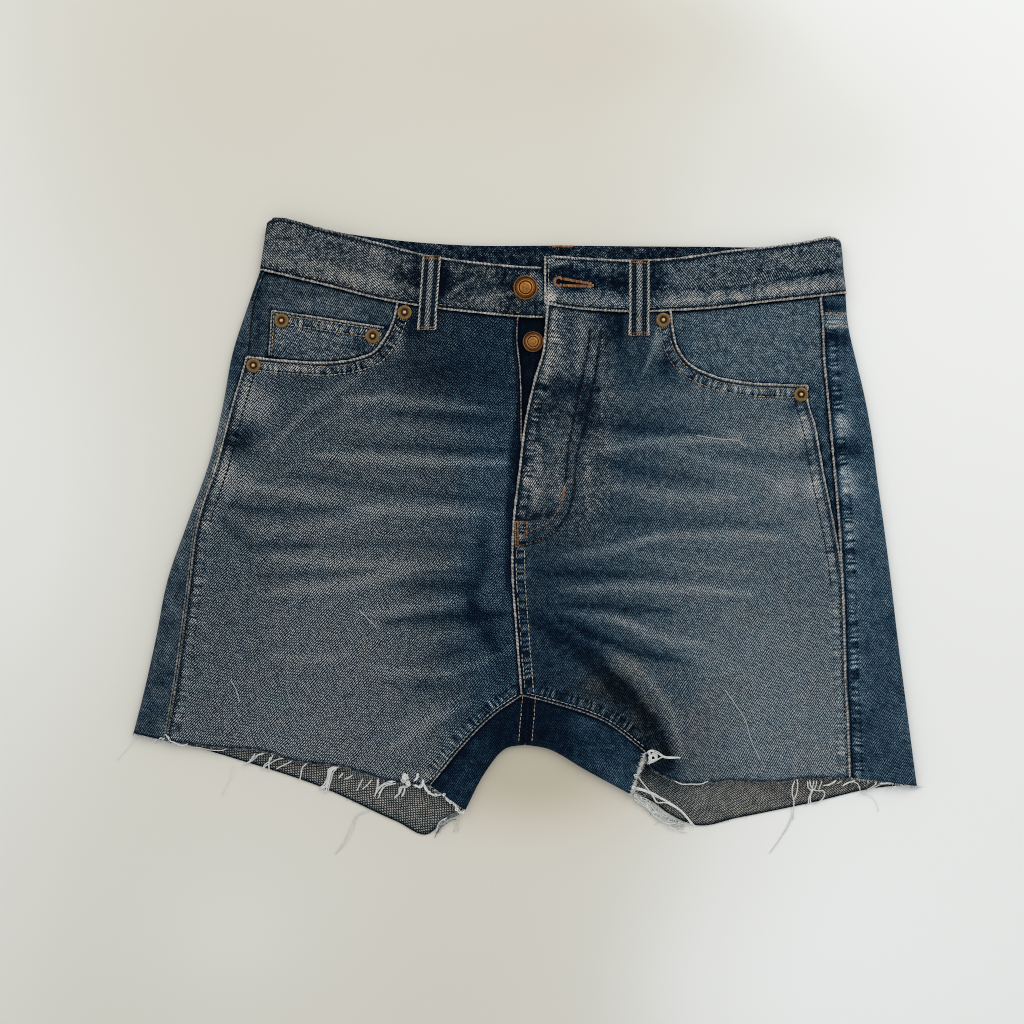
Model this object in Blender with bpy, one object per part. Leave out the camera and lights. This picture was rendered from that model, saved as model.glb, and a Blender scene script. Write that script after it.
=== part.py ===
"""Denim shorts laid flat on their back, front up, with raw frayed hems.

The legs point to -Y and the waist to +Y. "Right" and "left" are the wearer's, so the
right leg lies at -X. Sizes are in millimetres and become metres when a solid is made.
"""

import bmesh
import bpy
import numpy as np
from mathutils import Vector

MM = 0.001

# ---- driving sizes ----
CLOTH = 1.2  # one layer of denim
BAND = 2.6  # waistband: two layers and what they fold in
LOOP = 1.6  # belt loop, folded in three and pressed
GAP = 0.3  # between pieces that touch
INSET = 0.2  # what each of two sewn pieces gives up at their seam
LAYER = 0.5  # a curved piece under another curved piece
FOLD_RADIUS = 3.2  # cloth turning over at the sides and between the legs
BAND_RADIUS = 4.65  # waistband turning over at the sides
LIFT = CLOTH + GAP  # the back stands this high over its pockets and loops
LIFT_START, LIFT_RUN = 14.0, 14.0  # from a fold or hem to where the back is lifted
EASE_RUN = 22.0  # from a fold to where the front shows its own relief
WAIST_RISE, WAIST_RUN = 2.0, 22.0  # front panels rise to the thick waistband
UNDERLAP_DIP = 1.3
OVERLAP_RISE = 1.7
FLAP_RISE = 1.7

ROLL_TURNS = np.radians([0, 30, 60, 90])
BESIDE_ROLL = np.array([2.2, 4.2])  # columns that follow a roll, in its radii


def table(columns, *rows):
    """A table with named columns, one row for each section or station."""
    return dict(zip(columns.split(), np.array(rows, float).T))


# Sections of the hips, from the waist seam to the crotch. fold: the side fold; side:
# the side seam; front: the front panel's edge; seat_y and rise_y: where the section
# meets the seat seam under the shorts and the front rise seam on top.
HIP_COLUMNS = "level fold_x fold_y side_x side_y front_x front_y seat_y rise_y"
HIP_RIGHT = table(
    HIP_COLUMNS,
    (0.000, -185.8, 180.2, -182.2, 179.3, -182.2, 179.3, 161.7, 146.3),
    (0.067, -193.2, 158.9, -189.7, 158.2, -189.7, 158.2, 104.3, 127.4),
    (0.190, -205.8, 119.7, -194.9, 119.0, -194.9, 119.0, 57.4, 88.9),
    (0.283, -211.4, 88.9, -204.0, 87.5, -204.0, 87.5, 18.9, 50.4),
    (0.410, -221.2, 46.9, -215.2, 45.5, -215.2, 45.5, -26.6, 10.5),
    (0.545, -236.2, 4.9, -228.9, 2.8, -228.9, 2.8, -70.7, -31.5),
    (0.676, -250.9, -37.1, -234.8, -39.9, -234.8, -39.9, -112.0, -73.5),
    (0.803, -259.3, -79.1, -240.4, -82.6, -240.4, -82.6, -153.0, -117.6),
)
HIP_LEFT = table(
    HIP_COLUMNS,
    (0.000, 225.1, 163.8, 206.9, 160.6, 206.9, 160.6, 161.7, 153.3),
    (0.054, 226.4, 144.9, 208.6, 144.9, 208.6, 144.9, 104.3, 136.5),
    (0.136, 232.4, 116.9, 210.0, 115.5, 210.0, 115.5, 66.5, 108.5),
    (0.190, 236.9, 98.7, 211.7, 98.7, 198.1, 98.7, 42.0, 85.4),
    (0.280, 242.9, 67.9, 214.5, 67.9, 203.3, 67.9, 8.4, 57.4),
    (0.380, 247.4, 33.6, 217.7, 33.6, 209.3, 33.6, -26.6, 21.0),
    (0.480, 252.3, -1.4, 220.7, -1.4, 216.6, -1.4, -59.5, -14.7),
    (0.584, 256.9, -37.1, 222.6, -37.1, 222.1, -37.1, -89.6, -44.1),
    (0.705, 261.8, -79.1, 224.0, -79.1, 223.9, -79.1, -123.2, -82.6),
    (0.800, 266.3, -114.1, 225.0, -114.1, 225.0, -114.1, -153.0, -117.6),
)

# Sections of the legs, from the crotch to the hem. inner: the fold between the legs;
# inseam: the seam on top that joins front and back panel.
LEG_COLUMNS = "level fold_x fold_y side_x side_y inner_x inner_y inseam_x inseam_y"
LEG_RIGHT = table(
    LEG_COLUMNS,
    (0.803, -259.3, -79.1, -240.4, -82.6, 0.0, -153.0, -2.4, -117.6),
    (0.870, -264.2, -101.5, -243.6, -105.3, -15.4, -156.8, -23.1, -132.3),
    (0.930, -268.8, -121.1, -247.1, -126.0, -28.7, -173.6, -43.4, -152.6),
    (1.000, -274.8, -144.2, -251.3, -149.5, -41.6, -198.4, -66.5, -180.6),
)
LEG_LEFT = table(
    LEG_COLUMNS,
    (0.800, 266.3, -114.1, 225.0, -114.1, 0.0, -153.0, -2.4, -117.6),
    (0.850, 268.5, -130.9, 226.1, -129.5, 16.8, -156.1, 19.6, -123.2),
    (0.920, 271.6, -154.7, 226.9, -150.5, 42.7, -170.8, 56.7, -136.5),
    (1.000, 275.1, -181.3, 227.7, -175.3, 74.2, -187.9, 84.0, -156.8),
)
YOKE = {"right": 0.067, "left": 0.054}  # levels of the yoke seam
MOUTH_LEVEL = 0.19  # level of the pocket mouths' lower corners
MOUTH_SHARE = 0.58  # of a front panel's columns that end at the mouth
HIP_FADE, LEG_FADE = 1.5, 7.0  # how soon a panel's top and hem shapes fade out
SEAT_PACE = 320.0  # millimetres of seat seam to one whole level, near the crotch
SEAT_TOP, SEAT_FOOT = (25.9, 161.7), (0.0, -153.0)

# Edge of the fly flap and of the right front under it, down the front.
FLAP = table(
    "y x",
    (158.9, 16.4),
    (139.3, 14.5),
    (122.5, 12.9),
    (106.4, 8.0),
    (77.0, 1.1),
    (38.5, -3.8),
    (4.2, -7.8),
    (-28.7, -8.8),
    (-73.5, -5.9),
    (-117.6, -2.4),
)
RIGHT_EDGE = table("y x", (150.5, -4.2), (133.0, -5.2), (111.3, -3.1), (74.9, -2.1), (30.0, -2.4))

# Lines across the front and back, as points along each.
WAIST_RIGHT = table(
    "x y",
    (-185.8, 180.2),
    (-162.0, 174.5),
    (-133.3, 167.6),
    (-102.2, 159.6),
    (-77.0, 155.1),
    (-37.1, 150.1),
    (-3.5, 147.3),
    (42.0, 146.3),
)
WAIST_LEFT = table(
    "x y",
    (14.0, 155.6),
    (33.6, 152.6),
    (70.0, 150.4),
    (107.1, 151.5),
    (134.0, 153.3),
    (161.0, 156.5),
    (198.1, 160.6),
    (225.1, 163.8),
)
TOP_RIGHT = table(
    "x y",
    (-180.6, 212.8),
    (-174.3, 215.0),
    (-162.0, 213.4),
    (-145.6, 208.6),
    (-124.6, 203.6),
    (-99.4, 197.0),
    (-69.3, 189.3),
    (-37.1, 184.5),
    (-3.5, 181.6),
    (42.0, 180.6),
)
TOP_LEFT = table(
    "x y",
    (14.0, 188.6),
    (45.5, 186.5),
    (67.2, 185.5),
    (102.2, 186.9),
    (147.7, 192.9),
    (171.5, 195.3),
    (198.1, 199.1),
    (214.9, 201.5),
    (221.2, 199.0),
)
BACK_TOP = table(
    "x y",
    (-180.6, 212.8),
    (-157.5, 211.0),
    (-131.6, 206.8),
    (-80.5, 200.2),
    (-43.4, 197.7),
    (25.9, 197.4),
    (117.6, 196.7),
    (180.0, 196.5),
    (221.2, 199.0),
)
BACK_SEAM = table(
    "x y",
    (-185.8, 180.2),
    (-101.5, 170.0),
    (25.9, 161.7),
    (117.6, 161.7),
    (225.1, 163.8),
)
MOUTH_RIGHT = table(
    "x y",
    (-194.9, 119.0),
    (-162.0, 115.8),
    (-134.4, 115.1),
    (-118.3, 117.6),
    (-105.7, 122.5),
    (-98.3, 131.6),
    (-92.0, 144.2),
    (-88.9, 156.8),
)
MOUTH_LEFT = table(
    "x y",
    (101.5, 151.2),
    (102.9, 140.0),
    (107.1, 123.9),
    (114.8, 114.1),
    (128.8, 106.7),
    (155.4, 100.8),
    (182.0, 99.4),
    (198.1, 98.7),
)
FRONT_HEM_RIGHT = table(
    "x y",
    (-251.3, -149.5),
    (-208.6, -154.3),
    (-186.9, -155.4),
    (-160.3, -163.1),
    (-131.6, -166.6),
    (-91.0, -177.8),
    (-66.5, -180.6),
)
FRONT_HEM_LEFT = table(
    "x y",
    (227.7, -175.3),
    (189.7, -175.7),
    (178.5, -177.7),
    (150.5, -176.8),
    (104.6, -176.8),
    (87.5, -166.6),
    (84.0, -156.8),
)
BACK_HEM_RIGHT = table(
    "x y",
    (-274.8, -144.2),
    (-249.2, -150.5),
    (-202.3, -163.8),
    (-143.1, -183.4),
    (-90.3, -207.5),
    (-67.9, -216.3),
    (-61.6, -211.4),
    (-55.3, -204.4),
    (-41.6, -198.4),
)
BACK_HEM_LEFT = table(
    "x y",
    (275.1, -181.3),
    (247.1, -183.9),
    (200.2, -194.6),
    (149.8, -204.9),
    (121.5, -210.2),
    (100.8, -201.6),
    (88.2, -192.5),
    (74.2, -187.9),
)

# Soft ridges (+) and troughs (-) of the front side, each along a line.
RELIEF = table(
    "x0 y0 x1 y1 height spread",
    (86.0, -158.0, 94.0, -172.0, 2.6, 9.0),  # curled corner of the left hem
    (118.0, -120.0, 108.0, -176.0, 1.0, 11.0),  # soft fold up from that hem
    (-215.0, -150.0, -130.0, -164.0, 0.9, 12.0),  # right hem standing off the back
    (-90.0, -110.0, -52.0, -172.0, 0.9, 14.0),  # fullness of the right thigh
    (150.0, -172.0, 215.0, -170.0, 0.8, 13.0),  # left hem standing off the back
    (-150.0, 60.0, -60.0, 40.0, 0.7, 16.0),  # across the right hip
    (60.0, 30.0, 160.0, 15.0, 0.7, 16.0),  # across the left hip
    (205.0, 90.0, 213.0, 20.0, 0.6, 6.0),  # gaping side of the left pocket
    (-205.0, 80.0, -222.0, 20.0, 0.6, 7.0),  # the right side seam
)


# ---- lines and plans ----
def smooth(knots, values, at):
    """A smooth curve through the values at the knots, read at the given places."""
    knots, values, at = (np.asarray(a, float) for a in (knots, values, at))
    gaps = np.diff(knots)
    slopes = np.diff(values, axis=0) / gaps.reshape(-1, *[1] * (values.ndim - 1))
    before, after = gaps[:-1], gaps[1:]
    weights = (after / (before + after)).reshape(-1, *[1] * (values.ndim - 1))
    inner = slopes[:-1] * weights + slopes[1:] * (1 - weights)
    tangents = np.concatenate([slopes[:1], inner, slopes[-1:]])
    spot = np.clip(np.searchsorted(knots, at, side="right") - 1, 0, len(gaps) - 1)
    extra = [1] * (values.ndim - 1)
    gap = gaps[spot].reshape(*at.shape, *extra)
    share = np.clip((at - knots[spot]) / gaps[spot], 0, 1).reshape(*at.shape, *extra)
    start, end = values[spot], values[spot + 1]
    leave, arrive = tangents[spot] * gap, tangents[spot + 1] * gap
    return (
        start * (1 + 2 * share) * (1 - share) ** 2
        + leave * share * (1 - share) ** 2
        + end * share**2 * (3 - 2 * share)
        + arrive * share**2 * (share - 1)
    )


def ease(share):
    """0 to 1 with soft ends."""
    share = np.clip(share, 0, 1)
    return share * share * (3 - 2 * share)


def ramp(value, start, end):
    """0 at start to 1 at end, with soft ends."""
    return ease((value - start) / (end - start))


def points_of(line, x="x", y="y"):
    return np.stack([line[x], line[y]], axis=-1)


def path(points):
    """A smooth path through the points, read by its share of length."""
    points = np.asarray(points, float)
    steps = np.hypot(*np.diff(points, axis=0).T)
    knots = np.concatenate([[0], np.cumsum(steps)]) / steps.sum()
    return lambda at: smooth(knots, points, at)


def straight(start, end):
    start, end = np.asarray(start, float), np.asarray(end, float)
    return lambda at: start + (end - start) * np.asarray(at, float)[..., None]


def joined(first, second, share):
    """Two paths end to end; the first takes the given share."""

    def read(at):
        at = np.asarray(at, float)
        early = first(np.clip(at / share, 0, 1))
        late = second(np.clip((at - share) / (1 - share), 0, 1))
        return np.where((at < share)[..., None], early, late)

    return read


def part_of(line, start, end):
    return lambda at: line(start + (end - start) * np.asarray(at, float))


def at_x(line, x):
    """The share of length at which a path that runs along X reaches x."""
    shares = np.linspace(0, 1, 400)
    xs = line(shares)[:, 0]
    order = np.argsort(xs)
    return float(np.interp(x, xs[order], shares[order]))


def patch(top, bottom, left, right, shares, levels, fade=1.0):
    """A net of plan points fitted to four edges; shares has a row for each level.

    The shape of the top and bottom edge fades out across the net.
    """
    shares = np.broadcast_to(shares, (len(levels), np.shape(shares)[-1]))
    u, v = shares[..., None], np.asarray(levels, float)[:, None, None]
    plan = (1 - u) * left(levels)[:, None] + u * right(levels)[:, None]
    for edge, weight in ((top, (1 - v) ** fade), (bottom, v**fade)):
        start, end = edge(np.array([0.0, 1.0]))
        plan = plan + weight * (edge(shares) - start - (end - start) * u)
    return plan


def panel_plan(top, hem, outer, inner, shares, levels, crotch):
    """A panel's plan net: the hips down to the crotch row, then the leg to its hem."""
    row = straight(outer(np.array([crotch]))[0], inner(np.array([crotch]))[0])
    hips, legs = levels <= crotch + 1e-9, levels > crotch + 1e-9
    shares = np.broadcast_to(shares, (len(levels), np.shape(shares)[-1]))
    start = levels[0]

    def stretch(rows, first, last, upper, lower, fade):
        return patch(
            upper,
            lower,
            lambda at: outer(first + (last - first) * at),
            lambda at: inner(first + (last - first) * at),
            shares[rows],
            (levels[rows] - first) / (last - first),
            fade,
        )

    above = stretch(hips, start, crotch, top, row, HIP_FADE)
    below = stretch(legs, crotch, 1.0, row, hem, LEG_FADE)
    return np.concatenate([above, below])


def roll_shares(widths, radius, columns, both=False):
    """Shares across a patch that are close where it turns over a fold at its start."""
    steps = radius * (1 - np.cos(ROLL_TURNS))
    rows = []
    for width in widths:
        near = np.append(steps, radius * BESIDE_ROLL) / width
        if both:
            middle = np.linspace(near[-1], 1 - near[-1], columns + 1)[1:-1]
            rows.append(np.concatenate([near, middle, (1 - near)[::-1]]))
        elif width > 1.3 * radius:
            near = steps / width
            rows.append(np.concatenate([near, np.linspace(near[-1], 1, columns + 1)[1:]]))
        else:
            rows.append(np.linspace(0, 1, len(steps) + columns) ** 1.5)
    return np.array(rows)


def inset(plan, edges):
    """Draw in the named edges of a plan net by the seam's share."""
    plan = plan.copy()
    moves = {
        "top": (np.s_[0], np.s_[1]),
        "bottom": (np.s_[-1], np.s_[-2]),
        "left": (np.s_[:, 0], np.s_[:, 1]),
        "right": (np.s_[:, -1], np.s_[:, -2]),
    }
    for edge in edges.split():
        rim, inside = moves[edge]
        way = plan[inside] - plan[rim]
        plan[rim] += way / np.linalg.norm(way, axis=-1, keepdims=True) * INSET
    return plan


# ---- the outline's folds ----
def leg_line(hip, leg, name):
    """A line down hip and leg, read by level."""
    x = np.concatenate([hip[name + "_x"], leg[name + "_x"][1:]])
    y = np.concatenate([hip[name + "_y"], leg[name + "_y"][1:]])
    levels = np.concatenate([hip["level"], leg["level"][1:]])
    points = np.stack([x, y], axis=-1)
    return lambda at: smooth(levels, points, at)


def seat_at(y):
    share = (SEAT_TOP[1] - np.asarray(y, float)) / (SEAT_TOP[1] - SEAT_FOOT[1])
    return np.stack([SEAT_TOP[0] + (SEAT_FOOT[0] - SEAT_TOP[0]) * share, y], axis=-1)


def flap_at(y):
    return np.stack([smooth(-FLAP["y"], FLAP["x"], -np.asarray(y, float)), y], axis=-1)


def right_edge_at(y):
    y = np.asarray(y, float)
    own = smooth(-RIGHT_EDGE["y"], RIGHT_EDGE["x"], -np.maximum(y, RIGHT_EDGE["y"][-1]))
    return np.stack([np.minimum(own, flap_at(y)[..., 0] - GAP), y], axis=-1)


def inner_line(hip, leg, above, below, seam):
    """The inner edge of a panel by level: a seam down to the crotch, then the leg."""
    crotch = hip["level"][-1]

    def read(at):
        at = np.asarray(at, float)
        y = smooth(hip["level"], hip[above], np.minimum(at, crotch))
        points = points_of(leg, below + "_x", below + "_y")
        late = smooth(leg["level"], points, np.maximum(at, crotch))
        return np.where((at <= crotch + 1e-9)[..., None], seam(y), late)

    return read


def section_levels(hip):
    """Levels of the rows that neighbours share: the table's, halved, and the leg's."""
    knots = hip["level"][1:]
    halves = (knots[1:] + knots[:-1]) / 2
    return np.sort(np.concatenate([knots, halves, np.linspace(knots[-1], 1, 5)[1:]]))


FOLD = {
    "right": leg_line(HIP_RIGHT, LEG_RIGHT, "fold"),
    "left": leg_line(HIP_LEFT, LEG_LEFT, "fold"),
}
SIDE = {
    "right": leg_line(HIP_RIGHT, LEG_RIGHT, "side"),
    "left": leg_line(HIP_LEFT, LEG_LEFT, "side"),
}
LEGS = {"right": (HIP_RIGHT, LEG_RIGHT), "left": (HIP_LEFT, LEG_LEFT)}
BACK_HEM = {"right": path(points_of(BACK_HEM_RIGHT)), "left": path(points_of(BACK_HEM_LEFT))}
FRONT_HEM = {
    "right": path(points_of(FRONT_HEM_RIGHT)),
    "left": path(points_of(FRONT_HEM_LEFT)),
}


def arch():
    """The fold between the legs, from the right hem over the crotch to the left hem."""
    right = points_of(LEG_RIGHT, "inner_x", "inner_y")
    left = points_of(LEG_LEFT, "inner_x", "inner_y")
    down = [smooth(leg["level"], line, np.linspace(leg["level"][0], 1, 24))
            for leg, line in ((LEG_RIGHT, right), (LEG_LEFT, left))]
    onward = 2 * down[1][-1] - down[1][-2]
    return np.concatenate([down[0][::-1], down[1][1:], [onward]])


EVEN = np.linspace(0, 1, 60)
FOLD_LINES = [(FOLD["right"](EVEN), -1), (FOLD["left"](EVEN), 1), (arch(), -1)]
BAND_LINES = [
    (straight((-180.6, 212.8), (-185.8, 180.2))(np.linspace(0, 1, 4)), -1),
    (straight((221.2, 199.0), (225.1, 163.8))(np.linspace(0, 1, 4)), 1),
]
HEM_LINES = [(BACK_HEM[side](EVEN), 1) for side in ("right", "left")]
WAIST_LINES = [(path(points_of(line))(EVEN), 1) for line in (WAIST_RIGHT, WAIST_LEFT)]


def nearest(plan, lines):
    """Distance from each plan point to the lines, and the way out across them."""
    flat = plan.reshape(-1, 1, 2)
    best = np.full(len(flat), np.inf)
    out = np.zeros((len(flat), 2))
    for line, side in lines:
        start, run = line[:-1], np.diff(line, axis=0)
        length = np.sum(run**2, axis=1)
        share = np.clip(np.sum((flat - start) * run, axis=2) / length, 0, 1)
        gap = np.linalg.norm(start + share[..., None] * run - flat, axis=2)
        pick = gap.argmin(axis=1)
        rows = np.arange(len(flat))
        turned = np.stack([-run[:, 1], run[:, 0]], axis=-1) * side
        turned /= np.sqrt(length)[:, None]
        closer = gap[rows, pick] < best
        best = np.where(closer, gap[rows, pick], best)
        out = np.where(closer[:, None], turned[pick], out)
    return best.reshape(plan.shape[:-1]), out.reshape(plan.shape)


# ---- how high the cloth lies ----
def relief(plan):
    """Height of the soft ridges and troughs."""
    total = np.zeros(plan.shape[:-1])
    for x0, y0, x1, y1, height, spread in zip(*RELIEF.values()):
        away, _ = nearest(plan, [(np.array([(x0, y0), (x1, y1)]), 1)])
        total += height * np.exp(-((away / spread) ** 2))
    return total


def front_extra(plan, flap=False):
    """What the front side rises above the height of its folds."""
    waist, _ = nearest(plan, WAIST_LINES)
    rise = WAIST_RISE * np.exp(-waist / WAIST_RUN)
    x, y = plan[..., 0], plan[..., 1]
    if flap:
        rise = rise + FLAP_RISE * ramp(y, -20, 130) * ramp(x, 70, 25)
    else:
        dip = ramp(x, -45, -10) * ramp(x, 65, 45) * ramp(y, 70, 140)
        rise = rise - UNDERLAP_DIP * dip
    return rise + relief(plan)


def skins(plan, face, thick, radius, lines, extra, under_lift):
    """Outer and inner skin of a wall over the plan, turned over at the folds.

    face is 1 on the front side, -1 on the underside and 0 on the fold between them.
    """
    away, out = nearest(plan, lines)
    face = np.broadcast_to(face, away.shape)
    across = np.where(away < radius, (radius - away) / radius, 0.0)
    upright = np.sqrt(1 - across**2) * face
    across = np.sqrt(1 - upright**2)
    rise = np.where(face > 0, extra * ease((away - radius) / EASE_RUN), under_lift)
    outer = np.concatenate([plan, (radius + radius * upright + rise)[..., None]], axis=-1)
    normal = np.concatenate([out * across[..., None], upright[..., None]], axis=-1)
    return outer, outer - thick * normal


def back_lift(plan):
    away, _ = nearest(plan, FOLD_LINES + HEM_LINES)
    return LIFT * ease((away - LIFT_START) / LIFT_RUN)


def cloth(plan, face, flap=False, drop=0.0):
    """Skins of a panel: drop sets it under the front side's outer face."""
    extra = front_extra(plan, flap)
    outer, inner = skins(plan, face, CLOTH, FOLD_RADIUS, FOLD_LINES, extra, back_lift(plan))
    shift = np.array([0, 0, -drop])
    return outer + shift, inner + shift


def seat_height(x, y, radius, flap=False):
    """The highest point of the front side under a round piece."""
    turns, reach = np.meshgrid(np.linspace(0, 2 * np.pi, 13), [0, radius / 2, radius])
    disc = np.stack([x + reach * np.cos(turns), y + reach * np.sin(turns)], axis=-1)
    return float(cloth(disc, 1, flap)[0][..., 2].max())


def from_fold(plan, face, both=False):
    """The face of each point of a net that starts (and may end) on a fold."""
    faces = np.full(plan.shape[:2], face)
    faces[:, 0] = 0
    if both:
        faces[:, -1] = 0
    return faces


CREASE = {"x": 95, "y": 172, "slope": 0.11, "spread": 6, "depth": 0.7}  # along the left band


def band_extra(plan, end):
    """What the waistband's front rises above its fold: its two ends and a crease."""
    x, y = plan[..., 0], plan[..., 1]
    if end == "underlap":
        return -UNDERLAP_DIP * ramp(x, -30, -5)
    away = (y - CREASE["y"] - CREASE["slope"] * (x - CREASE["x"])) / CREASE["spread"]
    crease = CREASE["depth"] * np.exp(-(away**2)) * ramp(x, 80, 110)
    return OVERLAP_RISE * ramp(x, 90, 45) - crease


# ---- solids ----
def material(name, color, roughness, metallic=0.0):
    made = bpy.data.materials.new(name)
    made.use_nodes = True
    shader = made.node_tree.nodes["Principled BSDF"]
    shader.inputs["Base Color"].default_value = (*color, 1)
    shader.inputs["Roughness"].default_value = roughness
    shader.inputs["Metallic"].default_value = metallic
    return made


def clear_scene():
    for thing in list(bpy.data.objects):
        bpy.data.objects.remove(thing, do_unlink=True)


FINISH = {}
MADE = []
HEM_EDGES = {}  # outer edge of each raw hem, for its fringe


def add_object(name, mesh_maker, finish, round_piece=False):
    """Make a mesh in millimetres, turn its faces out and keep it as a named object."""
    mesh = bpy.data.meshes.new(name)
    net = bmesh.new()
    mesh_maker(net)
    bmesh.ops.recalc_face_normals(net, faces=net.faces)
    net.to_mesh(mesh)
    net.free()
    thing = bpy.data.objects.new(name, mesh)
    mesh.materials.append(FINISH[finish])
    if round_piece:
        mesh.shade_smooth()
        mesh.set_sharp_from_angle(angle=np.radians(35))
    bpy.context.scene.collection.objects.link(thing)
    MADE.append(thing)
    return thing


def wall(name, nets, finish="denim"):
    """A closed wall from pairs of outer and inner skins whose nets share their rims."""
    index, outer, inner, faces = {}, [], [], []
    for out_net, in_net in nets:
        ids = np.zeros(out_net.shape[:2], int)
        for place in np.ndindex(ids.shape):
            key = tuple(np.round(out_net[place], 3))
            if key not in index:
                index[key] = len(outer)
                outer.append(out_net[place])
                inner.append(in_net[place])
            ids[place] = index[key]
        quads = np.stack([ids[:-1, :-1], ids[:-1, 1:], ids[1:, 1:], ids[1:, :-1]], axis=-1)
        faces += [list(dict.fromkeys(quad)) for quad in quads.reshape(-1, 4)]
    edges = {}
    for face in faces:
        for a, b in zip(face, face[1:] + face[:1]):
            edges.setdefault(frozenset((a, b)), []).append((a, b))

    def make(net):
        upper = [net.verts.new(point) for point in outer]
        lower = [net.verts.new(point) for point in inner]
        for face in faces:
            net.faces.new([upper[i] for i in face])
            net.faces.new([lower[i] for i in reversed(face)])
        for uses in edges.values():
            if len(uses) == 1:
                a, b = uses[0]
                net.faces.new([upper[b], upper[a], lower[a], lower[b]])

    return add_object(name, make, finish)


def plate(name, outline, low, high, finish="denim"):
    """A flat piece of an outline's shape."""

    def make(net):
        base = net.faces.new([net.verts.new((x, y, low)) for x, y in outline])
        risen = bmesh.ops.extrude_face_region(net, geom=[base])["geom"]
        tops = [item for item in risen if isinstance(item, bmesh.types.BMVert)]
        bmesh.ops.translate(net, verts=tops, vec=(0, 0, high - low))

    return add_object(name, make, finish)


def turned(name, profile, place, finish, sides=24):
    """A turned piece: the profile's radius and height columns spun about Z."""

    def make(net):
        points = [net.verts.new((radius, 0, height)) for radius, height in profile]
        rims = [net.edges.new(pair) for pair in zip(points, points[1:])]
        bmesh.ops.spin(net, geom=points + rims, cent=(0, 0, 0), axis=(0, 0, 1),
                       angle=2 * np.pi, steps=sides, use_merge=True)
        bmesh.ops.remove_doubles(net, verts=net.verts, dist=0.001)
        bmesh.ops.translate(net, verts=net.verts, vec=place)

    return add_object(name, make, finish, round_piece=True)


# ---- the pieces ----
def width_between(first, second):
    return np.linalg.norm(first - second, axis=-1)


def back_pieces(side):
    """Back panel and yoke of one side, each wrapped round the side fold."""
    hip, leg = LEGS[side]
    fold, seam = FOLD[side], SIDE[side]
    inner = inner_line(hip, leg, "seat_y", "inner", seat_at)
    crotch = hip["level"][-1]
    yoke_level = YOKE[side]
    waist = path(points_of(BACK_SEAM))
    middle = at_x(waist, SEAT_TOP[0])
    top = part_of(waist, 0, middle) if side == "right" else part_of(waist, 1, middle)
    yoke_seam = straight(fold(np.array([yoke_level]))[0], inner(np.array([yoke_level]))[0])

    def under_shares(levels):
        return roll_shares(width_between(fold(levels), inner(levels)), FOLD_RADIUS, 7, both=True)

    def strip(levels):
        shares = roll_shares(width_between(fold(levels), seam(levels)), FOLD_RADIUS, 2)
        near, far = fold(levels)[:, None], seam(levels)[:, None]
        return near + (far - near) * shares[..., None]

    levels = np.linspace(0, yoke_level, 4)
    beneath = patch(
        top,
        yoke_seam,
        lambda at: fold(at * yoke_level),
        lambda at: inner(at * yoke_level),
        under_shares(levels),
        levels / yoke_level,
    )
    beneath = inset(beneath, "top bottom right")
    turned_up = inset(strip(levels), "top bottom right")
    turned_up[:, 0] = beneath[:, 0]
    wall("yoke_" + side, [
        cloth(beneath, from_fold(beneath, -1)), cloth(turned_up, from_fold(turned_up, 1))])

    near_arch = crotch - FOLD_RADIUS * (1 - np.cos(ROLL_TURNS[1:])) / SEAT_PACE
    levels = np.unique(np.concatenate([section_levels(hip), near_arch]))
    beneath = panel_plan(
        yoke_seam, BACK_HEM[side], fold, inner, under_shares(levels), levels, crotch)
    seam_row = int(np.argmax(levels >= crotch))
    legs = levels[seam_row:]
    beneath[:seam_row] = inset(beneath[:seam_row], "right")
    beneath = inset(beneath, "top")
    turned_up = inset(strip(levels), "top right")
    turned_up[:, 0] = beneath[:, 0]
    inseam = inner_line(hip, leg, "rise_y", "inseam", flap_at)(legs)
    shares = roll_shares(width_between(inner(legs), inseam), FOLD_RADIUS, 3)
    thigh = inner(legs)[:, None] + (inseam - inner(legs))[:, None] * shares[..., None]
    thigh = inset(thigh, "right")
    thigh[0, :, 0] += -INSET if side == "right" else INSET  # its share of the seat seam
    beneath[seam_row, -1] = thigh[0, 0]
    thigh[1:, 0] = beneath[seam_row + 1 :, -1]
    beneath_face = from_fold(beneath, -1)
    beneath_face[seam_row:, -1] = 0
    nets = [
        cloth(beneath, beneath_face),
        cloth(turned_up, from_fold(turned_up, 1)),
        cloth(thigh, from_fold(thigh, 1)),
    ]
    wall("back_" + side, nets)
    for name, (outer, _) in zip(("back", "strip", "thigh"), nets):
        HEM_EDGES[side, name] = outer[-1]


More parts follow.
